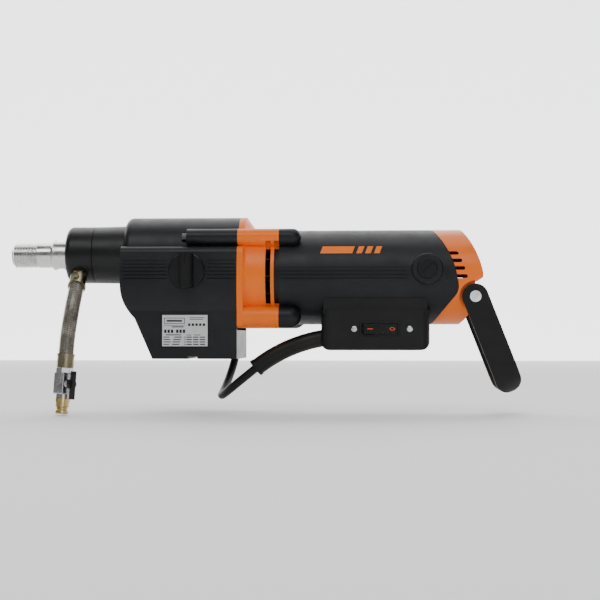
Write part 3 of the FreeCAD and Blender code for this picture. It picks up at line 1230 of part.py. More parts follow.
box_cuts = [
    cylinder("sleeve_hole", SLEEVE_RADIUS + 0.1, 14.0, (box_x + 7.0, sleeve_y, sleeve_z + 1.2),
             FreeCAD.Rotation(FreeCAD.Vector(0, 1, 0), -90.0 - SLEEVE_START_TILT)),
    saddle,
    block("switch_box_inside", (box_x + BOX_WALL, box_y + 8.0, box_z + BOX_WALL),
          (box_end - BOX_WALL, BOX_FAR_Y - BOX_WALL, BOX_TOP_Z + 30)),
    block("switch_frame_hole", (frame_x, box_y - 5, frame_z), (frame_end, box_y + 20.0, frame_top)),
    *[cylinder(f"switch_screw_hole_{x:.0f}", 1.8, 9.0, (x, box_y - 1, rocker_z), "Y") for x in SCREW_SPOTS],
]
node("switch_box", cut("switch_box_finished", fuse("switch_box_solid", box_outer, rim), *box_cuts))
ROCKER_HALF, ROCKER_HEIGHT = 20.5, 13.0
rocker_pivot_y = box_y + 6.0
PIVOT_RADIUS = 0.8
node("power_switch", fuse(
    "power_switch_solid",
    rounded("switch_frame_edge", cut(
        "switch_frame_ring",
        block("switch_frame_block", (frame_x, box_y - 1.5, frame_z), (frame_end, box_y + 10.0, frame_top)),
        block("switch_frame_opening", (rocker_x - 22.0, box_y - 5.0, rocker_z - ROCKER_HEIGHT / 2 - 0.3),
              (rocker_x + 22.0, box_y + 20.0, rocker_z + ROCKER_HEIGHT / 2 + 0.3))), 0.8,
        lambda edge: edge.BoundBox.YMax < -float(dim.switch_box_half_width) - 1.4),
    block("switch_module", (frame_x + 1.5, box_y + 9.0, frame_z + 0.5),
          (frame_end - 1.5, box_y + 34.0, frame_top - 0.5)),
    cylinder("rocker_pin", PIVOT_RADIUS, ROCKER_HEIGHT + 1.6,
             (rocker_x, rocker_pivot_y, rocker_z - ROCKER_HEIGHT / 2 - 0.8), "Z")))
ROCK = math.radians(8.0)


def rocked(x, y):
    """A corner of the rocker, drawn about its pivot and tipped to the off position."""
    return (rocker_x + x * math.cos(ROCK) - y * math.sin(ROCK),
            rocker_pivot_y + x * math.sin(ROCK) + y * math.cos(ROCK))


node("switch_rocker", cut("rocker_bored", prism("rocker_solid", [
    rocked(-ROCKER_HALF, -8.6), rocked(0.0, -5.6), rocked(ROCKER_HALF, -8.6),
    rocked(ROCKER_HALF - 1.0, -2.0), rocked(6.0, 1.4), rocked(-6.0, 1.4), rocked(1.0 - ROCKER_HALF, -2.0)],
    "Z", rocker_z - ROCKER_HEIGHT / 2, ROCKER_HEIGHT),
    cylinder("rocker_bore", PIVOT_RADIUS + 0.1, ROCKER_HEIGHT + 2.0,
             (rocker_x, rocker_pivot_y, rocker_z - ROCKER_HEIGHT / 2 - 1.0), "Z")))
node("control_electronics", fuse(
    "electronics_solid", block("circuit_board", (rocker_x - 30.0, -12.0, box_z + 7.0),
                               (rocker_x + 45.0, 34.0, box_z + 8.6)),
    block("potted_module", (rocker_x - 20.0, -8.0, box_z + 8.6), (rocker_x + 16.0, 28.0, box_z + 20.0)),
    block("heat_sink", (rocker_x + 22.0, -8.0, box_z + 8.6), (rocker_x + 40.0, 28.0, box_z + 24.0))))
node("switch_box_screws", group("switch_screw_pair", *[
    fuse(f"switch_screw_{x:.0f}",
         rounded(f"switch_screw_crown_{x:.0f}", cylinder(f"switch_screw_head_{x:.0f}", 4.0, 2.4,
                 (x, box_y - 2.4, rocker_z), "Y"), 1.6,
                 lambda edge: edge.Closed and edge.CenterOfMass.y < -57.0),
         cylinder(f"switch_screw_stem_{x:.0f}", 1.75, 7.5, (x, box_y, rocker_z), "Y"))
    for x in SCREW_SPOTS]))

# ---- rear handle ------------------------------------------------------------------------

reach = dim.handle_length
half_wide = dim.handle_width / 2
span = dim.handle_half_span
HANDLE_CORNER = 38.0
corner_shift = HANDLE_CORNER * (1 - math.sqrt(0.5))
inner_corner = HANDLE_CORNER - dim.handle_thickness
inner_shift = inner_corner * (1 - math.sqrt(0.5))
inner_reach = reach - dim.handle_thickness
inner_span = span - dim.handle_thickness
arm_side = prism("handle_arm_side", [
    (0, -half_wide, -half_wide, 0), (reach - half_wide, -half_wide),
    (reach - half_wide, half_wide, reach, 0), (0, half_wide)], "Y", -span - 1, span * 2 + 2)
bail = prism("handle_bail", [
    (-half_wide - 1, -span), (reach - HANDLE_CORNER, -span),
    (reach, HANDLE_CORNER - span, reach - corner_shift, corner_shift - span), (reach, span - HANDLE_CORNER),
    (reach - HANDLE_CORNER, span, reach - corner_shift, span - corner_shift), (-half_wide - 1, span),
    (-half_wide - 1, inner_span), (inner_reach - inner_corner, inner_span),
    (inner_reach, inner_span - inner_corner, inner_reach - inner_shift, inner_span - inner_shift),
    (inner_reach, inner_corner - inner_span),
    (inner_reach - inner_corner, -inner_span, inner_reach - inner_shift, inner_shift - inner_span),
    (-half_wide - 1, -inner_span)], "Z", -half_wide - 1, dim.handle_width + 2)
handle_blank = cut("handle_blank", common("handle_crossed", arm_side, bail),
                   cylinder("handle_bolt_way", 4.0 + dim.running_clearance, span * 2 + 4,
                            (0, -span - 2, 0), "Y"))
doc.recompute()
handle_rotation = FreeCAD.Rotation(FreeCAD.Vector(0, 1, 0), 90.0 - math.degrees(HANDLE_LEAN))
node("rear_handle", computed("rear_handle_placed", handle_blank.Shape.copy(),
                             (dim.handle_pivot_x, 0, dim.handle_pivot_z), handle_rotation))
bolts = []
for side in (-1, 1):
    outward = AXES["Y"] if side > 0 else FreeCAD.Rotation(FreeCAD.Vector(1, 0, 0), 90)
    head_y = side * (span + dim.body_gap)
    socket = doc.addObject("Part::Prism", f"handle_bolt_socket_{side}")
    socket.Polygon = 6
    socket.Circumradius = 3.4
    socket.Height = 3.0
    place(socket, (pivot[0], side * (span + dim.body_gap + 2.4), pivot[1]), outward)
    bolts.append(cut(f"handle_bolt_{side}", fuse(
        f"handle_bolt_solid_{side}",
        cylinder(f"handle_bolt_head_{side}", 7.0, 4.6, (pivot[0], head_y, pivot[1]), outward),
        cylinder(f"handle_bolt_stem_{side}", 4.0, dim.handle_thickness + 8.0,
                 (pivot[0], side * (span - dim.handle_thickness - 6.0), pivot[1]), outward)), socket))
node("handle_bolts", group("handle_bolt_pair", *bolts))

# ---- tubes ------------------------------------------------------------------------------


def tube_path(points):
    """Straight runs joined by tangent arcs, each as large as its two runs allow."""
    points = [vector(point) for point in points]
    edges, start, radii = [], points[0], []
    for before, corner, after in zip(points, points[1:], points[2:]):
        inwards, outwards = before - corner, after - corner
        shorter = min(inwards.Length, outwards.Length)
        inwards.normalize()
        outwards.normalize()
        half_turn = (math.pi - inwards.getAngle(outwards)) / 2
        cut_back = 0.45 * shorter
        radius = cut_back / math.tan(half_turn)
        radii.append(round(radius))
        first, last = corner + inwards * cut_back, corner + outwards * cut_back
        bisector = (inwards + outwards).normalize()
        middle = corner + bisector * (radius / math.cos(half_turn) - radius)
        edges += [Part.makeLine(start, first), Part.Arc(first, middle, last).toShape()]
        start = last
    edges.append(Part.makeLine(start, points[-1]))
    return Part.Wire(edges), radii


def tube(name, points, radius, bore=0.0):
    """A round tube along a hand-chosen route; prints its bend radii and checks its volume."""
    path, radii = tube_path(points)
    start = path.Vertexes[0].Point
    direction = vector(points[1]) - vector(points[0])

    def swept(size):
        disc = Part.Wire(Part.makeCircle(size, start, direction))
        return path.makePipeShell([disc], True, False)

    solid = swept(radius)
    print(f"{name}: length {path.Length:.0f}, radii {radii}, "
          f"volume ratio {solid.Volume / (math.pi * radius ** 2 * path.Length):.4f}")
    if bore:
        solid = solid.cut(swept(bore))
    return computed(name, solid)


# ---- water inlet ------------------------------------------------------------------------

HOSE_RADIUS, HOSE_BORE = 9.5, 6.3
BARB_RADIUS = 6.2
NIPPLE_HEX_END = 41.5
hose_start = on_port(NIPPLE_HEX_END + 0.2)
HOSE_ROUTE = [tuple(float(value) for value in hose_start), (-150.0, -43.4, 88.6), (-151.5, -55.0, 70.0),
              (-154.0, -62.0, 48.0), (-156.3, -65.5, 28.0), (-157.6, -67.6, 8.0), (-158.8, -68.9, -11.0)]
nipple_hex = doc.addObject("Part::Prism", "nipple_hex")
nipple_hex.Polygon = 6
nipple_hex.Circumradius = 10.2
nipple_hex.Height = 3.9
place(nipple_hex, tuple(float(value) for value in on_port(37.6)), port_rotation)
node("hose_nipple", cut("hose_nipple_finished", fuse(
    "hose_nipple_solid", nipple_hex,
    cylinder("nipple_thread", PORT_THREAD_RADIUS - 0.05, 14.0, on_port(24.0), port_rotation),
    cylinder("nipple_barb", BARB_RADIUS, 16.0, on_port(NIPPLE_HEX_END - 0.5), port_rotation)),
    cylinder("nipple_way", 4.0, 40.0, on_port(22.0), port_rotation)))
node("water_hose", tube("water_hose_tube", HOSE_ROUTE, HOSE_RADIUS, HOSE_BORE))

# the valve hangs on the end of the hose; its own z runs along the flow, its x along the stem
valve_end = vector(HOSE_ROUTE[-1])
flow = (valve_end - vector(HOSE_ROUTE[-2])).normalize()
stem_way = FreeCAD.Vector(0.78, -0.626, 0)
stem_way = (stem_way - flow * stem_way.dot(flow)).normalize()
valve_rotation = FreeCAD.Rotation(stem_way, flow.cross(stem_way), flow, "ZXY")
across_valve = valve_rotation.multiply(AXES["X"])


def on_valve(x, y, z):
    return tuple(valve_end + valve_rotation.multVec(FreeCAD.Vector(x, y, z)))


def valve_block(name, low, high):
    return turned_block(name, low, high, tuple(valve_end), valve_rotation)


def valve_hex(name, radius, length, z):
    solid = doc.addObject("Part::Prism", name)
    solid.Polygon = 6
    solid.Circumradius = radius
    solid.Height = length
    return place(solid, on_valve(0, 0, z), valve_rotation)


BALL_Z, BALL_RADIUS, BORE_RADIUS = 20.0, 6.6, 4.0
VALVE_HALF = 9.2
valve_solid = fuse(
    "valve_solid",
    cylinder("valve_barb", BARB_RADIUS, 18.0, on_valve(0, 0, -17.5), valve_rotation),
    valve_hex("valve_shoulder", 10.6, 6.0, 0.3),
    rounded("valve_block_edges", valve_block("valve_block", (-VALVE_HALF, -VALVE_HALF, 6.0),
                                             (VALVE_HALF, VALVE_HALF, 33.0)), 1.2, lambda edge: True),
    cylinder("valve_socket", 9.0, 5.0, on_valve(0, 0, 32.5), valve_rotation),
    cylinder("valve_gland", 5.2, 4.0, on_valve(VALVE_HALF - 1.0, 0, BALL_Z), across_valve))
ball_room = doc.addObject("Part::Sphere", "valve_ball_room")
ball_room.Radius = BALL_RADIUS + 0.1
place(ball_room, on_valve(0, 0, BALL_Z))
node("valve_body", cut(
    "valve_finished", valve_solid, ball_room,
    cylinder("valve_way", BORE_RADIUS, 70.0, on_valve(0, 0, -20.0), valve_rotation),
    cylinder("valve_thread", 6.0, 12.0, on_valve(0, 0, 27.0), valve_rotation),
    cylinder("valve_stem_way", 2.55, 20.0, on_valve(0, 0, BALL_Z), across_valve)))
ball = doc.addObject("Part::Sphere", "valve_ball_sphere")
ball.Radius = BALL_RADIUS
place(ball, on_valve(0, 0, BALL_Z))
STEM_END = 17.0
node("valve_ball", cut(
    "valve_ball_finished", fuse("valve_ball_solid", ball, cylinder(
        "valve_stem", 2.5, STEM_END, on_valve(0, 0, BALL_Z), across_valve)),
    cylinder("valve_ball_way", BORE_RADIUS, 30.0, on_valve(0, 0, BALL_Z - 15.0), valve_rotation)))
LEVER_START = VALVE_HALF + 3.4
node("valve_lever", cut(
    "valve_lever_finished", fuse(
        "valve_lever_solid",
        cylinder("lever_hub", 6.0, 5.0, on_valve(LEVER_START, 0, BALL_Z), across_valve),
        rounded("lever_wing_edges", valve_block(
            "lever_wing", (LEVER_START + 1.0, -2.6, BALL_Z - 16.0), (LEVER_START + 9.0, 2.6, BALL_Z + 19.0)), 2.2,
            lambda edge: edge.Length > 20.0)),
    cylinder("lever_way", 2.5, STEM_END - LEVER_START, on_valve(LEVER_START, 0, BALL_Z), across_valve)))
PLUG_RADIUS = 8.5
PLUG_START = 37.6
quick_line = [(0, 3.2), (0, 5.9), (9.5, 5.9), (9.5, 9.4), (14.5, 9.4), (14.5, PLUG_RADIUS), (20.5, PLUG_RADIUS),
              (21.5, 7.2), (24.0, 7.2), (25.0, PLUG_RADIUS), (28.5, PLUG_RADIUS), (29.5, 7.4), (29.5, 3.2)]
plug_turn = valve_rotation.multiply(FreeCAD.Rotation(FreeCAD.Vector(0, 1, 0), -90))
node("quick_plug", turned("quick_plug_body", on_valve(0, 0, PLUG_START - 9.5), quick_line, along=plug_turn))
FERRULE_LENGTH, FERRULE_RADIUS = 17.0, 10.6


def ferrule(name, at, rotation, ear_way):
    """A single-ear clamp sleeve round the end of the hose."""
    body = fuse(name + "_solid", cylinder(name + "_band", FERRULE_RADIUS, FERRULE_LENGTH, at, rotation),
                cylinder(name + "_rim", FERRULE_RADIUS + 0.9, 2.0, at, rotation))
    middle = vector(at) + rotation.multVec(FreeCAD.Vector(0, 0, FERRULE_LENGTH / 2))
    ear = cylinder(name + "_ear", 3.6, 2.6, tuple(middle + ear_way * (FERRULE_RADIUS - 1.0)),
                   FreeCAD.Rotation(FreeCAD.Vector(0, 0, 1), ear_way))
    return cut(name, fuse(name + "_with_ear", body, ear), hose_outside)


hose_outside = tube("hose_outside", HOSE_ROUTE, HOSE_RADIUS)
upper_turn = FreeCAD.Rotation(FreeCAD.Vector(0, 0, 1), -vector(port_direction))
towards_front = FreeCAD.Vector(-0.25, -0.95, 0)
node("hose_clamps", group(
    "hose_clamp_pair",
    ferrule("upper_clamp", tuple(float(value) for value in on_port(NIPPLE_HEX_END + 0.8 + FERRULE_LENGTH)),
            upper_turn, FreeCAD.Vector(0, port_direction[2], -port_direction[1]).normalize()),
    ferrule("lower_clamp", on_valve(0, 0, -FERRULE_LENGTH - 0.3), valve_rotation,
            (towards_front - flow * towards_front.dot(flow)).normalize())))

# ---- mains cable ------------------------------------------------------------------------

CABLE_RADIUS = 5.2
SLEEVE_BEND, SLEEVE_TURN = 184.0, 28.8
start_tilt = math.radians(SLEEVE_START_TILT)
bend_centre = FreeCAD.Vector(float(box_x) + SLEEVE_BEND * math.sin(start_tilt), sleeve_y,
                             sleeve_z - SLEEVE_BEND * math.cos(start_tilt))


def on_sleeve(degrees, lift=0.0):
    """A point along the curved axis of the cable sleeve."""
    tilt = math.radians(SLEEVE_START_TILT + degrees)
    return bend_centre + FreeCAD.Vector(-math.sin(tilt), 0, math.cos(tilt)) * (SLEEVE_BEND + lift)


def sleeve_part(first, last, radius):
    """A stretch of the sleeve, between two angles of its bend."""
    tilt = math.radians(SLEEVE_START_TILT + first)
    way = FreeCAD.Vector(-math.cos(tilt), 0, -math.sin(tilt))
    disc = Part.Face(Part.Wire(Part.makeCircle(radius, on_sleeve(first), way)))
    return disc.revolve(bend_centre, FreeCAD.Vector(0, -1, 0), last - first)


sleeve_shape = sleeve_part(-2.8, SLEEVE_TURN, SLEEVE_RADIUS).fuse(
    sleeve_part(SLEEVE_TURN - 1.4, SLEEVE_TURN, SLEEVE_RADIUS + 0.7)).fuse(
    sleeve_part(-2.8, -1.9, SLEEVE_RADIUS + 1.5)).removeSplitter()
sleeve_end = on_sleeve(SLEEVE_TURN)
end_tilt = math.radians(SLEEVE_START_TILT + SLEEVE_TURN)
sleeve_tangent = FreeCAD.Vector(-math.cos(end_tilt), 0, -math.sin(end_tilt))
COIL_X, COIL_Y, COIL_Z = BOSS_FRONT_X, 83.0, 82.0
COIL_RADIUS_MEAN, COIL_HALF = 57.0, 15.5
coil_ring = node("cable_coil", turned("cable_coil_ring", (COIL_X, COIL_Y - COIL_HALF, COIL_Z), [
    (0, COIL_RADIUS_MEAN - COIL_HALF + 4), (0, COIL_RADIUS_MEAN + COIL_HALF - 4),
    (4, COIL_RADIUS_MEAN + COIL_HALF), (2 * COIL_HALF - 4, COIL_RADIUS_MEAN + COIL_HALF),
    (2 * COIL_HALF, COIL_RADIUS_MEAN + COIL_HALF - 4), (2 * COIL_HALF, COIL_RADIUS_MEAN - COIL_HALF + 4),
    (2 * COIL_HALF - 4, COIL_RADIUS_MEAN - COIL_HALF), (4, COIL_RADIUS_MEAN - COIL_HALF)], along="Y"))
CABLE_ROUTE = [tuple(sleeve_end), tuple(sleeve_end + sleeve_tangent * 26.0), (38.5, -22.5, -42.5), (28.5, 1.5, -48.5),
               (28.0, 29.5, -44.5), (31.5, 54.5, -31.0), (37.0, 72.5, -10.0), (42.0, 83.0, 15.0),
               (45.0, 85.0, 43.0)]
PLUG_X, PLUG_Y, PLUG_TOP = -58.0, 119.0, 55.0
PLUG_LENGTH, PIN_LENGTH = 32.0, 19.0
TAIL_ROUTE = [(-10.0, 88.0, 129.0), (-32.0, 92.0, 128.5), (-47.5, 100.5, 116.0), (-55.5, 110.5, 98.0),
              (PLUG_X, PLUG_Y, 77.0), (PLUG_X, PLUG_Y, PLUG_TOP)]
node("mains_cable", group(
    "mains_cable_runs",
    cut("cable_run", tube("cable_run_tube", CABLE_ROUTE, CABLE_RADIUS), coil_ring),
    cut("cable_tail", tube("cable_tail_tube", TAIL_ROUTE, CABLE_RADIUS), coil_ring)))
node("mains_plug", turned("mains_plug_body", (PLUG_X, PLUG_Y, PLUG_TOP), [
    (0, 0), (0, 7.0), (10.0, 9.0), (14.0, 17.0), (18.0, 18.5), (PLUG_LENGTH, 18.5), (PLUG_LENGTH, 0)],
    along=FreeCAD.Rotation(FreeCAD.Vector(0, 1, 0), 90)))
node("plug_pins", group("plug_pin_pair", *[
    cylinder(f"plug_pin_{side}", 2.4, PIN_LENGTH,
             (PLUG_X + side * 9.5, PLUG_Y, PLUG_TOP - PLUG_LENGTH - PIN_LENGTH), "Z")
    for side in (-1, 1)]))
bundle_top, bundle_low = COIL_Z + COIL_RADIUS_MEAN + COIL_HALF, COIL_Z + COIL_RADIUS_MEAN - COIL_HALF
tab_x = BOSS_FRONT_X
STRAP_WIDTH, STRAP_THICKNESS, STRAP_GAP = 16.0, 1.6, 0.4
strap_near, strap_far = COIL_Y - COIL_HALF - STRAP_GAP, COIL_Y + COIL_HALF + STRAP_GAP
strap_ring = cut("strap_ring", block(
    "strap_outside", (tab_x - STRAP_WIDTH / 2, strap_near - STRAP_THICKNESS, bundle_low - 2.8),
    (tab_x + STRAP_WIDTH / 2, strap_far + STRAP_THICKNESS, bundle_top + 2.2)),
    block("strap_inside", (tab_x - STRAP_WIDTH, strap_near, bundle_low - 1.2),
          (tab_x + STRAP_WIDTH, strap_far, bundle_top + 0.6)))
far_screw_y, far_screw_z = upper_spots[1]
node("cable_strap", cut("cable_strap_finished", fuse(
    "cable_strap_solid", strap_ring,
    block("strap_tab", (tab_x - 1.5, far_screw_y + 4.0, float(far_screw_z) - 7.0),
          (tab_x - 0.1, strap_near, float(far_screw_z) + 7.0))),
    cylinder("strap_eye", 5.2, 10.0, (tab_x - 5.0, far_screw_y, far_screw_z))))
node("cable_sleeve", computed("cable_sleeve_shape", sleeve_shape))

# ---- checks and files -------------------------------------------------------------------

doc.recompute()
for thing in doc.Objects:
    if {"Invalid", "Error"} & set(thing.State):
        raise RuntimeError(f"{thing.Name} failed: {thing.State}")
for part in nodes:
    if part.Shape.isNull() or not part.Shape.isValid() or not part.Shape.Solids:
        raise RuntimeError(f"{part.Label} has no valid solid")
os.makedirs("parts", exist_ok=True)
for part in nodes:
    part.Shape.exportStep(f"parts/{part.Label}.step")
print(f"{len(nodes)} sub-parts written")
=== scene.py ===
import json
import math

import bmesh
import bpy
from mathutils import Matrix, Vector
from mathutils.bvhtree import BVHTree


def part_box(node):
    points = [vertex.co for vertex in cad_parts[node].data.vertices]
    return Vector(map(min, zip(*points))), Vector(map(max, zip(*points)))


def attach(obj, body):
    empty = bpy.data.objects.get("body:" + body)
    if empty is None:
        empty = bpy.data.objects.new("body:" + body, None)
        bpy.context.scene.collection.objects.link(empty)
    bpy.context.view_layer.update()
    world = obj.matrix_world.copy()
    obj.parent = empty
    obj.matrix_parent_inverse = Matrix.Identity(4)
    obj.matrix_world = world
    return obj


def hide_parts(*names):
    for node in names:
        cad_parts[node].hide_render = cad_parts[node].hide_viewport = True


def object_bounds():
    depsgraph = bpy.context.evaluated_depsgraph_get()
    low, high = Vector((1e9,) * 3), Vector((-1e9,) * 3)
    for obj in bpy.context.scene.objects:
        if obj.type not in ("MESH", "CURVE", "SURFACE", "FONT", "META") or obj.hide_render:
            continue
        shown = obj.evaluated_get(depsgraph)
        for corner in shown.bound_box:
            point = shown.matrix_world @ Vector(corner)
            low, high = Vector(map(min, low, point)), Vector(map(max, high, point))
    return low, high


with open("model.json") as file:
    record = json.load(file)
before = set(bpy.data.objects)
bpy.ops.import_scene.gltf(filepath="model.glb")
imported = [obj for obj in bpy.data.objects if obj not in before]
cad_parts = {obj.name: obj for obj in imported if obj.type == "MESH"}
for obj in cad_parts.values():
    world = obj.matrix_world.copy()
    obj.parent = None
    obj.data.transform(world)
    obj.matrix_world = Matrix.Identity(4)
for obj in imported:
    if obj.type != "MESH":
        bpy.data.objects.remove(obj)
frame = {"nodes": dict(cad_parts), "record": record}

low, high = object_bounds()
nodes = frame["nodes"]


# ---- materials --------------------------------------------------------------------------

class Finish:
    """A procedural material: grain, wear and grime over one base colour."""

    def __init__(self, name, colour, metal, rough):
        self.material = bpy.data.materials.new(name)
        self.material.use_nodes = True
        self.tree = self.material.node_tree
        self.shader = self.tree.nodes["Principled BSDF"]
        self.shader.inputs["Metallic"].default_value = metal
        self.shader.inputs["Roughness"].default_value = rough
        self.colour = self.rgb(colour)
        self.coords = self.node("ShaderNodeTexCoord").outputs["Object"]
        self.normal = None

    def node(self, kind, **settings):
        made = self.tree.nodes.new(kind)
        for key, value in settings.items():
            setattr(made, key, value)
        return made

    def link(self, source, socket):
        self.tree.links.new(source, socket)

    def rgb(self, colour):
        made = self.node("ShaderNodeRGB")
        made.outputs[0].default_value = (*colour, 1)
        return made.outputs[0]

    def noise(self, scale, detail=3.0, stretch=(1, 1, 1)):
        mapping = self.node("ShaderNodeMapping")
        mapping.inputs["Scale"].default_value = stretch
        self.link(self.coords, mapping.inputs["Vector"])
        made = self.node("ShaderNodeTexNoise")
        made.inputs["Scale"].default_value = scale
        made.inputs["Detail"].default_value = detail
        made.inputs["Roughness"].default_value = 0.55
        self.link(mapping.outputs[0], made.inputs["Vector"])
        return made.outputs["Fac"]

    def ramp(self, value, start, end, low_value=0.0, high_value=1.0):
        made = self.node("ShaderNodeMapRange")
        limits = {"From Min": start, "From Max": end, "To Min": low_value, "To Max": high_value}
        for key, number in limits.items():
            made.inputs[key].default_value = number
        self.link(value, made.inputs["Value"])
        return made.outputs[0]

    def math(self, operation, one, other=0.0):
        """one and other are each a number or another node's output."""
        made = self.node("ShaderNodeMath", operation=operation)
        for index, value in enumerate((one, other)):
            if isinstance(value, (int, float)):
                made.inputs[index].default_value = value
            else:
                self.link(value, made.inputs[index])
        return made.outputs[0]

    def tint(self, amount, colour):
        """Lays another colour over the base where amount is high."""
        mix = self.node("ShaderNodeMix", data_type="RGBA")
        self.link(amount, mix.inputs["Factor"])
        self.link(self.colour, mix.inputs[6])
        mix.inputs[7].default_value = (*colour, 1)
        self.colour = mix.outputs[2]

    def roughness(self, value, smooth, rough):
        self.link(self.ramp(value, 0.3, 0.7, smooth, rough), self.shader.inputs["Roughness"])

    def bump(self, height, strength, distance):
        made = self.node("ShaderNodeBump")
        made.inputs["Strength"].default_value = strength
        made.inputs["Distance"].default_value = distance
        self.link(height, made.inputs["Height"])
        if self.normal is not None:
            self.link(self.normal, made.inputs["Normal"])
        self.normal = made.outputs[0]

    def scuffs(self, colour, amount):
        """Thin rubbed streaks, only in a few patches."""
        patches = self.ramp(self.noise(16, 3), 0.52, 0.68)
        streaks = self.ramp(self.noise(55, 4, (1.0, 1.0, 22.0)), 0.63, 0.72, 0.0, amount)
        self.tint(self.math("MULTIPLY", patches, streaks), colour)

    def done(self):
        self.link(self.colour, self.shader.inputs["Base Color"])
        if self.normal is not None:
            self.link(self.normal, self.shader.inputs["Normal"])
        return self.material


def painted(name, colour, rough, grain=1500, grain_depth=0.25, wear=(0.3, 0.3, 0.3), wear_amount=0.25,
            dust=(0.20, 0.18, 0.16), dust_amount=0.12, coat=0.0):
    """Paint, plastic or rubber: fine grain, soft patches of dust, specks, and a few scuffs."""
    f = Finish(name, colour, 0.0, rough)
    f.shader.inputs["Specular IOR Level"].default_value = 0.3
    f.tint(f.ramp(f.noise(18, 5), 0.48, 0.78, 0.0, dust_amount), dust)
    f.tint(f.ramp(f.noise(500, 3), 0.68, 0.76, 0.0, dust_amount), dust)
    f.scuffs(wear, wear_amount)
    f.roughness(f.noise(40, 4), rough - 0.05, rough + 0.07)
    f.bump(f.noise(grain, 2), grain_depth, 0.0002)
    if coat:
        f.shader.inputs["Coat Weight"].default_value = coat
        f.shader.inputs["Coat Roughness"].default_value = 0.25
    return f.done()


def metal(name, colour, rough, stretch=(1, 1, 1), scale=300, depth=0.12,
          stain=(0.10, 0.085, 0.06), stain_amount=0.15):
    """Bare metal: tool lines along one direction, uneven polish, and stains."""
    f = Finish(name, colour, 1.0, rough)
    f.tint(f.ramp(f.noise(45, 5), 0.5, 0.75, 0.0, stain_amount), stain)
    lines = f.noise(scale, 3, stretch)
    f.tint(f.ramp(lines, 0.35, 0.75, 0.0, 0.25), tuple(c * 0.6 for c in colour))
    f.roughness(f.noise(90, 4), rough - 0.06, rough + 0.12)
    f.bump(lines, depth, 0.0001)
    return f.done()


TURNED = (14, 1, 1)  # lines round the X axis, as a lathe leaves them
materials = {
    "casting_black": painted("casting black", (0.0085, 0.0098, 0.0118), 0.40, 1300, 0.22,
                             (0.10, 0.105, 0.11), 0.3, (0.045, 0.045, 0.045), 0.16),
    "flange_orange": painted("flange orange", (1.0, 0.185, 0.0), 0.38, 1300, 0.18, (1.0, 0.30, 0.03),
                             0.35, (0.35, 0.07, 0.01), 0.25, 0.1),
    "housing_black": painted("housing black", (0.0065, 0.0078, 0.0098), 0.42, 2300, 0.35,
                             (0.08, 0.085, 0.09), 0.3, (0.04, 0.04, 0.04), 0.16),
    "cap_orange": painted("cap orange", (1.0, 0.185, 0.0), 0.36, 1900, 0.2, (1.0, 0.30, 0.03), 0.3,
                          (0.35, 0.07, 0.01), 0.25, 0.15),
    "collar_black": painted("collar black", (0.007, 0.0075, 0.0085), 0.36, 900, 0.12,
                            (0.12, 0.12, 0.12), 0.35, (0.045, 0.045, 0.045), 0.16),
    "spindle_steel": metal("spindle steel", (0.74, 0.74, 0.73), 0.22, TURNED, 240, 0.15),
    "gear_steel": metal("gear steel", (0.42, 0.42, 0.43), 0.3, TURNED, 240, 0.15),
    "bearing_steel": metal("bearing steel", (0.7, 0.7, 0.71), 0.18, TURNED, 260, 0.08),
    "cast_inner": metal("bare casting", (0.6, 0.61, 0.62), 0.45, (1, 1, 1), 900, 0.3),
    "lamination": metal("lamination", (0.26, 0.26, 0.28), 0.42, (26, 1, 1), 160, 0.5),
    "copper": metal("copper wire", (0.74, 0.33, 0.15), 0.3, (1, 9, 9), 260, 0.5),
    "carbon": painted("carbon", (0.02, 0.02, 0.022), 0.6, 900, 0.4),
    "brass": metal("brass", (0.80, 0.60, 0.27), 0.22, (1, 1, 9), 260, 0.1, (0.16, 0.12, 0.05), 0.35),
    "chromed": metal("nickel", (0.62, 0.62, 0.64), 0.2, (1, 1, 3), 500, 0.1, (0.2, 0.19, 0.16), 0.3),
    "black_screw": metal("black oxide", (0.10, 0.10, 0.105), 0.4, (1, 1, 1), 500, 0.15),
    "zinc_screw": metal("zinc", (0.72, 0.75, 0.80), 0.24, (1, 1, 1), 500, 0.15),
    "plate_silver": metal("plate foil", (0.72, 0.73, 0.74), 0.5, (1, 1, 12), 120, 0.04,
                          (0.4, 0.4, 0.4), 0.1),
    "knob_black": painted("knob black", (0.0045, 0.005, 0.006), 0.34, 2100, 0.25, (0.08, 0.08, 0.08),
                          0.3, (0.03, 0.03, 0.03), 0.12),
    "box_black": painted("switch box black", (0.005, 0.0052, 0.0058), 0.46, 2200, 0.35,
                         (0.06, 0.06, 0.06), 0.3, (0.035, 0.035, 0.035), 0.14),
    "rocker_black": painted("rocker black", (0.004, 0.004, 0.005), 0.24, 1500, 0.05,
                            (0.05, 0.05, 0.05), 0.2),
    "circuit": painted("circuit green", (0.03, 0.14, 0.06), 0.45),
    "handle_black": painted("handle black", (0.0045, 0.0046, 0.0048), 0.52, 2300, 0.45,
                            (0.05, 0.05, 0.05), 0.35, (0.03, 0.03, 0.03), 0.14),
    "seal_rubber": painted("sleeve rubber", (0.005, 0.005, 0.0045), 0.46, 900, 0.3, (0.04, 0.04, 0.04),
                           0.2, (0.035, 0.032, 0.025), 0.3),
    "cable_rubber": painted("cable rubber", (0.005, 0.005, 0.005), 0.48, 1200, 0.3, (0.04, 0.04, 0.04),
                            0.2, (0.035, 0.035, 0.03), 0.25),
    "ferrule_metal": metal("ferrule", (0.34, 0.30, 0.20), 0.30, (1, 1, 6), 300, 0.2,
                           (0.06, 0.055, 0.035), 0.5),
    "lever_black": painted("lever black", (0.012, 0.012, 0.014), 0.38, 1300, 0.25),
    "fan_plastic": painted("fan plastic", (0.006, 0.006, 0.007), 0.45),
}


STRANDS_ALONG, STRANDS_ROUND = 44.0, 9.0


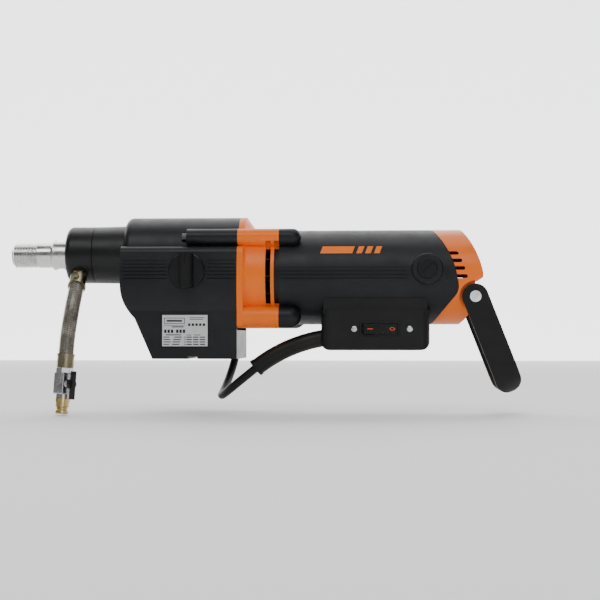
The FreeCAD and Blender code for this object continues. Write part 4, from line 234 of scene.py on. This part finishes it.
def braid():
    """Clear hose over a woven braid: two families of crossing strands round the tube."""
    f = Finish("braided hose", (0.085, 0.075, 0.055), 0.0, 0.25)
    split = f.node("ShaderNodeSeparateXYZ")
    f.link(f.node("ShaderNodeTexCoord").outputs["UV"], split.inputs[0])
    strands = []
    for way in (1, -1):
        phase = f.math("ADD", f.math("MULTIPLY", split.outputs[0], 2 * math.pi * STRANDS_ALONG),
                       f.math("MULTIPLY", split.outputs[1], way * 2 * math.pi * STRANDS_ROUND))
        strands.append(f.ramp(f.math("SINE", phase), -0.2, 1.0))
    woven = f.math("MAXIMUM", strands[0], strands[1])
    patches = f.ramp(f.noise(70, 5), 0.42, 0.62, 0.12, 0.85)
    f.tint(f.math("MULTIPLY", woven, patches), (0.42, 0.385, 0.31))
    f.tint(f.ramp(f.noise(150, 4), 0.55, 0.7, 0.0, 0.5), (0.05, 0.045, 0.035))
    f.roughness(f.noise(120, 3), 0.15, 0.36)
    f.bump(woven, 0.5, 0.0006)
    f.shader.inputs["Coat Weight"].default_value = 0.6
    f.shader.inputs["Coat Roughness"].default_value = 0.12
    return f.done()


materials["hose_braid"] = braid()
materials["ink"] = painted("plate ink", (0.02, 0.02, 0.022), 0.5, 900, 0.05)
materials["mark_orange"] = painted("mark orange", (1.0, 0.20, 0.006), 0.4, 900, 0.08)
materials["rocker_mark"] = painted("rocker mark", (0.75, 0.08, 0.01), 0.4, 900, 0.05)


def wear(obj, name):
    """Puts a finish on an object's own material slots, and leaves its mesh alone."""
    if not obj.material_slots:
        obj.data.materials.append(None)
    for entry in obj.material_slots:
        entry.link = "OBJECT"
        entry.material = materials[name]


for part in frame["record"]["subparts"]:
    wear(nodes[part["node"]], part["material_slot"])


# ---- pieces -----------------------------------------------------------------------------

def piece(name, faces, body, finish):
    """A mesh piece from lists of corners, one list for each closed plate or strip."""
    mesh = bpy.data.meshes.new(name)
    build = bmesh.new()
    for corners, depth in faces:
        outer = [build.verts.new(c) for c in corners]
        inner = [build.verts.new(Vector(c) + Vector(depth)) for c in corners]
        build.faces.new(outer)
        build.faces.new(inner[::-1])
        for index in range(len(corners)):
            after = (index + 1) % len(corners)
            build.faces.new((outer[after], outer[index], inner[index], inner[after]))
    bmesh.ops.recalc_face_normals(build, faces=build.faces)
    build.to_mesh(mesh)
    build.free()
    obj = bpy.data.objects.new(name, mesh)
    bpy.context.scene.collection.objects.link(obj)
    mesh.materials.append(materials[finish])
    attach(obj, body)
    return obj


def surface_of(node):
    mesh = nodes[node].data
    return BVHTree.FromPolygons([v.co for v in mesh.vertices], [tuple(p.vertices) for p in mesh.polygons])


def on_side(tree, x, z):
    """The point of a surface that faces -Y at this x and z."""
    return tree.ray_cast(Vector((x, -0.5, z)), Vector((0, 1, 0)))[0]


# The plate's printing: lines and boxes in place of its words.
plate_low, plate_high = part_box("rating_plate")
INK_SUNK, INK_DEPTH = 0.00005, 0.00012
ink_y = plate_low.y + INK_SUNK


def print_on_plate(x, z, width, height):
    """A box of ink, measured from the plate's upper left corner."""
    left, top = plate_low.x + x, plate_high.z - z
    corners = [(left, ink_y, top), (left + width, ink_y, top),
               (left + width, ink_y, top - height), (left, ink_y, top - height)]
    return corners, (0, -INK_DEPTH, 0)


def frame_on_plate(x, z, width, height, line):
    return [print_on_plate(x, z, width, line), print_on_plate(x, z + height - line, width, line),
            print_on_plate(x, z + line, line, height - 2 * line),
            print_on_plate(x + width - line, z + line, line, height - 2 * line)]


printing = frame_on_plate(0.0025, 0.0035, 0.026, 0.0075, 0.0007)
printing += [print_on_plate(0.0055, 0.0062, 0.0195, 0.0022)]
printing += [print_on_plate(0.0015, 0.0130, 0.0275, 0.0005), print_on_plate(0.0125, 0.0142, 0.0145, 0.0012)]
printing += [print_on_plate(0.0345 + 0.0002 * row, 0.0030 + 0.0020 * row, 0.0185 - 0.002 * row, 0.0008)
             for row in range(2)]
printing += [print_on_plate(0.0325 + 0.0046 * mark, 0.0105, 0.0030, 0.0032) for mark in range(5)]
printing += [print_on_plate(0.0025 + step, 0.0182, 0.0030, 0.0042)
             for step in (0, 0.0042, 0.0084, 0.0150, 0.0192, 0.0234)]
printing += [print_on_plate(0.0045, 0.0242, 0.0195, 0.0011)]
for row in range(4):
    row_z = 0.0270 + 0.0030 * row
    printing += [print_on_plate(0.0015, row_z, 0.0075 + 0.0009 * (row % 3), 0.0011),
                 print_on_plate(0.0150 - 0.001 * row, row_z, 0.0095, 0.0012),
                 print_on_plate(0.0280, row_z, 0.0013, 0.0015)]
    printing += [print_on_plate(0.0305 + 0.0083 * column, row_z, 0.0068, 0.0013) for column in range(3)]
printing += [print_on_plate(0.0305, 0.0245, 0.0060, 0.0009), print_on_plate(0.0400, 0.0245, 0.0080, 0.0009)]
piece("plate_printing", printing, "drill_motor", "ink")

# A plain striped mark on the motor's side, in place of the word there.
side = surface_of("motor_housing")
MARK_LOW, MARK_HIGH, LEAN = 0.1315, 0.1405, 0.35
MARK_PROUD, MARK_DEPTH = 0.00018, 0.00025
SLICES = 6
strokes = []
for start, width in ((0.1590, 0.0400), (0.2040, 0.0070), (0.2150, 0.0070), (0.2260, 0.0070)):
    for step in range(SLICES):
        z_low = MARK_LOW + (MARK_HIGH - MARK_LOW) * step / SLICES
        z_high = MARK_LOW + (MARK_HIGH - MARK_LOW) * (step + 1) / SLICES
        corners = []
        for x, z in ((start, z_low), (start + width, z_low), (start + width, z_high), (start, z_high)):
            point = on_side(side, x + (z - MARK_LOW) * LEAN, z)
            corners.append(Vector((point.x, point.y - MARK_PROUD, point.z)))
        strokes.append((corners, (0, MARK_DEPTH, 0)))
piece("side_mark", strokes, "drill_motor", "mark_orange")

# The rocker's two marks: a bar for on and a ring for off.
rocker = surface_of("switch_rocker")
ROCKER_Z = 0.0375
ROCKER_MARK_PROUD, ROCKER_MARK_DEPTH = 0.00012, 0.0002
BAR_START, BAR_END, BAR_HALF = 0.2180, 0.2250, 0.0006
RING_X, RING_HALF_WIDTH, RING_HALF_HEIGHT, RING_HOLE = 0.2488, 0.0034, 0.0021, 0.62


def on_rocker(x, z):
    point = on_side(rocker, x, z)
    return Vector((point.x, point.y - ROCKER_MARK_PROUD, point.z))


mark_depth = (0, ROCKER_MARK_DEPTH, 0)
bar_corners = ((BAR_START, -BAR_HALF), (BAR_END, -BAR_HALF), (BAR_END, BAR_HALF), (BAR_START, BAR_HALF))
bar = [([on_rocker(x, ROCKER_Z + z) for x, z in bar_corners], mark_depth)]
ring = []
SIDES = 20
for index in range(SIDES):
    one, two = (2 * math.pi * turn / SIDES for turn in (index, index + 1))
    ring.append(([on_rocker(RING_X + RING_HALF_WIDTH * reach * math.cos(angle),
                            ROCKER_Z + RING_HALF_HEIGHT * reach * math.sin(angle))
                  for angle, reach in ((one, 1.0), (two, 1.0), (two, RING_HOLE), (one, RING_HOLE))],
                 mark_depth))
piece("rocker_marks", bar + ring, "rocker", "rocker_mark")

# A dark air guide behind the outlets. The CAD has none, and without it one sees right through.
guide = []
GUIDE_Z, GUIDE_OUTER, GUIDE_INNER = 0.1034, 0.0539, 0.0528
GUIDE_START, GUIDE_END = 0.0982, 0.1073
GUIDE_SIDES = 96
for index in range(GUIDE_SIDES):
    one, two = (2 * math.pi * turn / GUIDE_SIDES for turn in (index, index + 1))
    section = ((one, GUIDE_OUTER), (two, GUIDE_OUTER), (two, GUIDE_INNER), (one, GUIDE_INNER))
    guide.append(([(GUIDE_START, reach * math.sin(angle), GUIDE_Z + reach * math.cos(angle))
                   for angle, reach in section], (GUIDE_END - GUIDE_START, 0, 0)))
piece("air_guide", guide, "drill_motor", "fan_plastic")


# ---- cords ------------------------------------------------------------------------------

def route(name, points, radius, finish):
    curve = bpy.data.curves.new(name, "CURVE")
    curve.dimensions = "3D"
    spline = curve.splines.new("NURBS")
    spline.points.add(len(points) - 1)
    for entry, point in zip(spline.points, points):
        entry.co = (*point, 1.0)
    spline.order_u = 3
    spline.use_endpoint_u = True
    spline.resolution_u = 6
    curve.bevel_depth = radius
    curve.bevel_resolution = 6
    curve.use_fill_caps = True
    obj = bpy.data.objects.new(name, curve)
    bpy.context.scene.collection.objects.link(obj)
    curve.materials.append(materials[finish])
    return obj


CABLE_DIAMETER, HOSE_DIAMETER = 0.0104, 0.019
run = [(0.076656, -0.035, -0.012106), (0.056393, -0.035, -0.028398), (0.0385, -0.0225, -0.0425),
       (0.0285, 0.0015, -0.0485), (0.028, 0.0295, -0.0445), (0.0315, 0.0545, -0.031),
       (0.037, 0.0725, -0.010), (0.042, 0.081, 0.015)]
tail = [(-0.032, 0.092, 0.1285), (-0.0475, 0.1005, 0.116), (-0.0555, 0.1105, 0.098),
        (-0.058, 0.119, 0.077), (-0.058, 0.119, 0.055)]
COIL_X, COIL_Z = -0.0085, 0.082
TURN_POINTS = 24
LANE_CHANGE = 0.45  # the last share of a turn, in which the cable moves over to its next lane
lanes = [(0.0673, 0.083), (0.0673, 0.0727), (0.0570, 0.0727), (0.0467, 0.0727),
         (0.0467, 0.083), (0.0570, 0.083), (0.0570, 0.0933), (0.0467, 0.0933)]
START_ANGLE, TURNS = -34.0, 8.35
coil = []
for step in range(int(TURNS * TURN_POINTS) + 1):
    turn = step / TURN_POINTS
    lane = min(int(turn), len(lanes) - 1)
    after = min(lane + 1, len(lanes) - 1)
    share = min(max((turn - lane - 1.0 + LANE_CHANGE) / LANE_CHANGE, 0.0), 1.0)
    radius = lanes[lane][0] + (lanes[after][0] - lanes[lane][0]) * share
    y = lanes[lane][1] + (lanes[after][1] - lanes[lane][1]) * share
    angle = math.radians(START_ANGLE + 360.0 * turn)
    coil.append((COIL_X + radius * math.cos(angle), y, COIL_Z + radius * math.sin(angle)))
cable_points = run + coil + tail
cable = route("mains_flex", cable_points, CABLE_DIAMETER / 2, "cable_rubber")
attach(cable, "drill_motor")
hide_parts("mains_cable", "cable_coil")

hose_points = [(-0.150, -0.029176, 0.103106), (-0.150, -0.0434, 0.0886), (-0.1515, -0.055, 0.070),
               (-0.154, -0.062, 0.048), (-0.1563, -0.0655, 0.028), (-0.1576, -0.0676, 0.008),
               (-0.1588, -0.0689, -0.011)]
hose = route("braided_hose", hose_points, HOSE_DIAMETER / 2, "hose_braid")
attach(hose, "drill_motor")
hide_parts("water_hose")


# ---- floor, light and camera ------------------------------------------------------------

def plain(name, colour, rough):
    material = bpy.data.materials.new(name)
    material.use_nodes = True
    material.node_tree.nodes["Principled BSDF"].inputs["Base Color"].default_value = (*colour, 1)
    material.node_tree.nodes["Principled BSDF"].inputs["Roughness"].default_value = rough
    return material


def sheet_of(name, corners, material):
    mesh = bpy.data.meshes.new(name)
    mesh.from_pydata(corners, [], [(0, 1, 2, 3)])
    mesh.materials.append(material)
    obj = bpy.data.objects.new(name, mesh)
    bpy.context.scene.collection.objects.link(obj)


FLOOR_Z = low.z - 0.001
WALL_Y = 4.0
sheet_of("floor", [(-8, -8, FLOOR_Z), (8, -8, FLOOR_Z), (8, WALL_Y, FLOOR_Z), (-8, WALL_Y, FLOOR_Z)],
         plain("floor white", (0.9, 0.9, 0.9), 0.8))
wall = plain("lit wall", (0.9, 0.9, 0.9), 0.8)
wall.node_tree.nodes["Principled BSDF"].inputs["Emission Color"].default_value = (1, 1, 1, 1)
wall.node_tree.nodes["Principled BSDF"].inputs["Emission Strength"].default_value = 2.6
sheet_of("backdrop", [(-8, WALL_Y, FLOOR_Z), (8, WALL_Y, FLOOR_Z), (8, WALL_Y, 8), (-8, WALL_Y, 8)], wall)


def softbox(name, place, target, size, power):
    data = bpy.data.lights.new(name, "AREA")
    data.shape = "RECTANGLE"
    data.size, data.size_y = size
    data.energy = power
    obj = bpy.data.objects.new(name, data)
    obj.location = place
    obj.rotation_mode = "QUATERNION"
    obj.rotation_quaternion = (Vector(target) - Vector(place)).to_track_quat("-Z", "Y")
    bpy.context.scene.collection.objects.link(obj)
    return obj


softbox("key_softbox", (-0.2, -1.6, 1.7), (0.08, 0, 0.08), (1.8, 0.9), 19)
softbox("top_softbox", (0.2, 0.2, 1.9), (0.08, 0, 0.08), (2.4, 0.8), 15)
softbox("front_fill", (0.9, -2.6, 0.4), (0.08, 0, 0.08), (1.2, 1.0), 6)

world = bpy.data.worlds.new("studio")
world.use_nodes = True
world.node_tree.nodes["Background"].inputs["Color"].default_value = (1, 1, 1, 1)
world.node_tree.nodes["Background"].inputs["Strength"].default_value = 0.16
bpy.context.scene.world = world

lens = bpy.data.cameras.new("camera")
lens.lens = 91.6
lens.sensor_width = 36
lens.shift_y = 0.058
lens.clip_end = 200
camera = bpy.data.objects.new("camera", lens)
camera.location = (0.260, -1.950, 0.0302)
camera.rotation_euler = (math.radians(90), 0, math.radians(3.8))
bpy.context.scene.collection.objects.link(camera)
bpy.context.scene.camera = camera
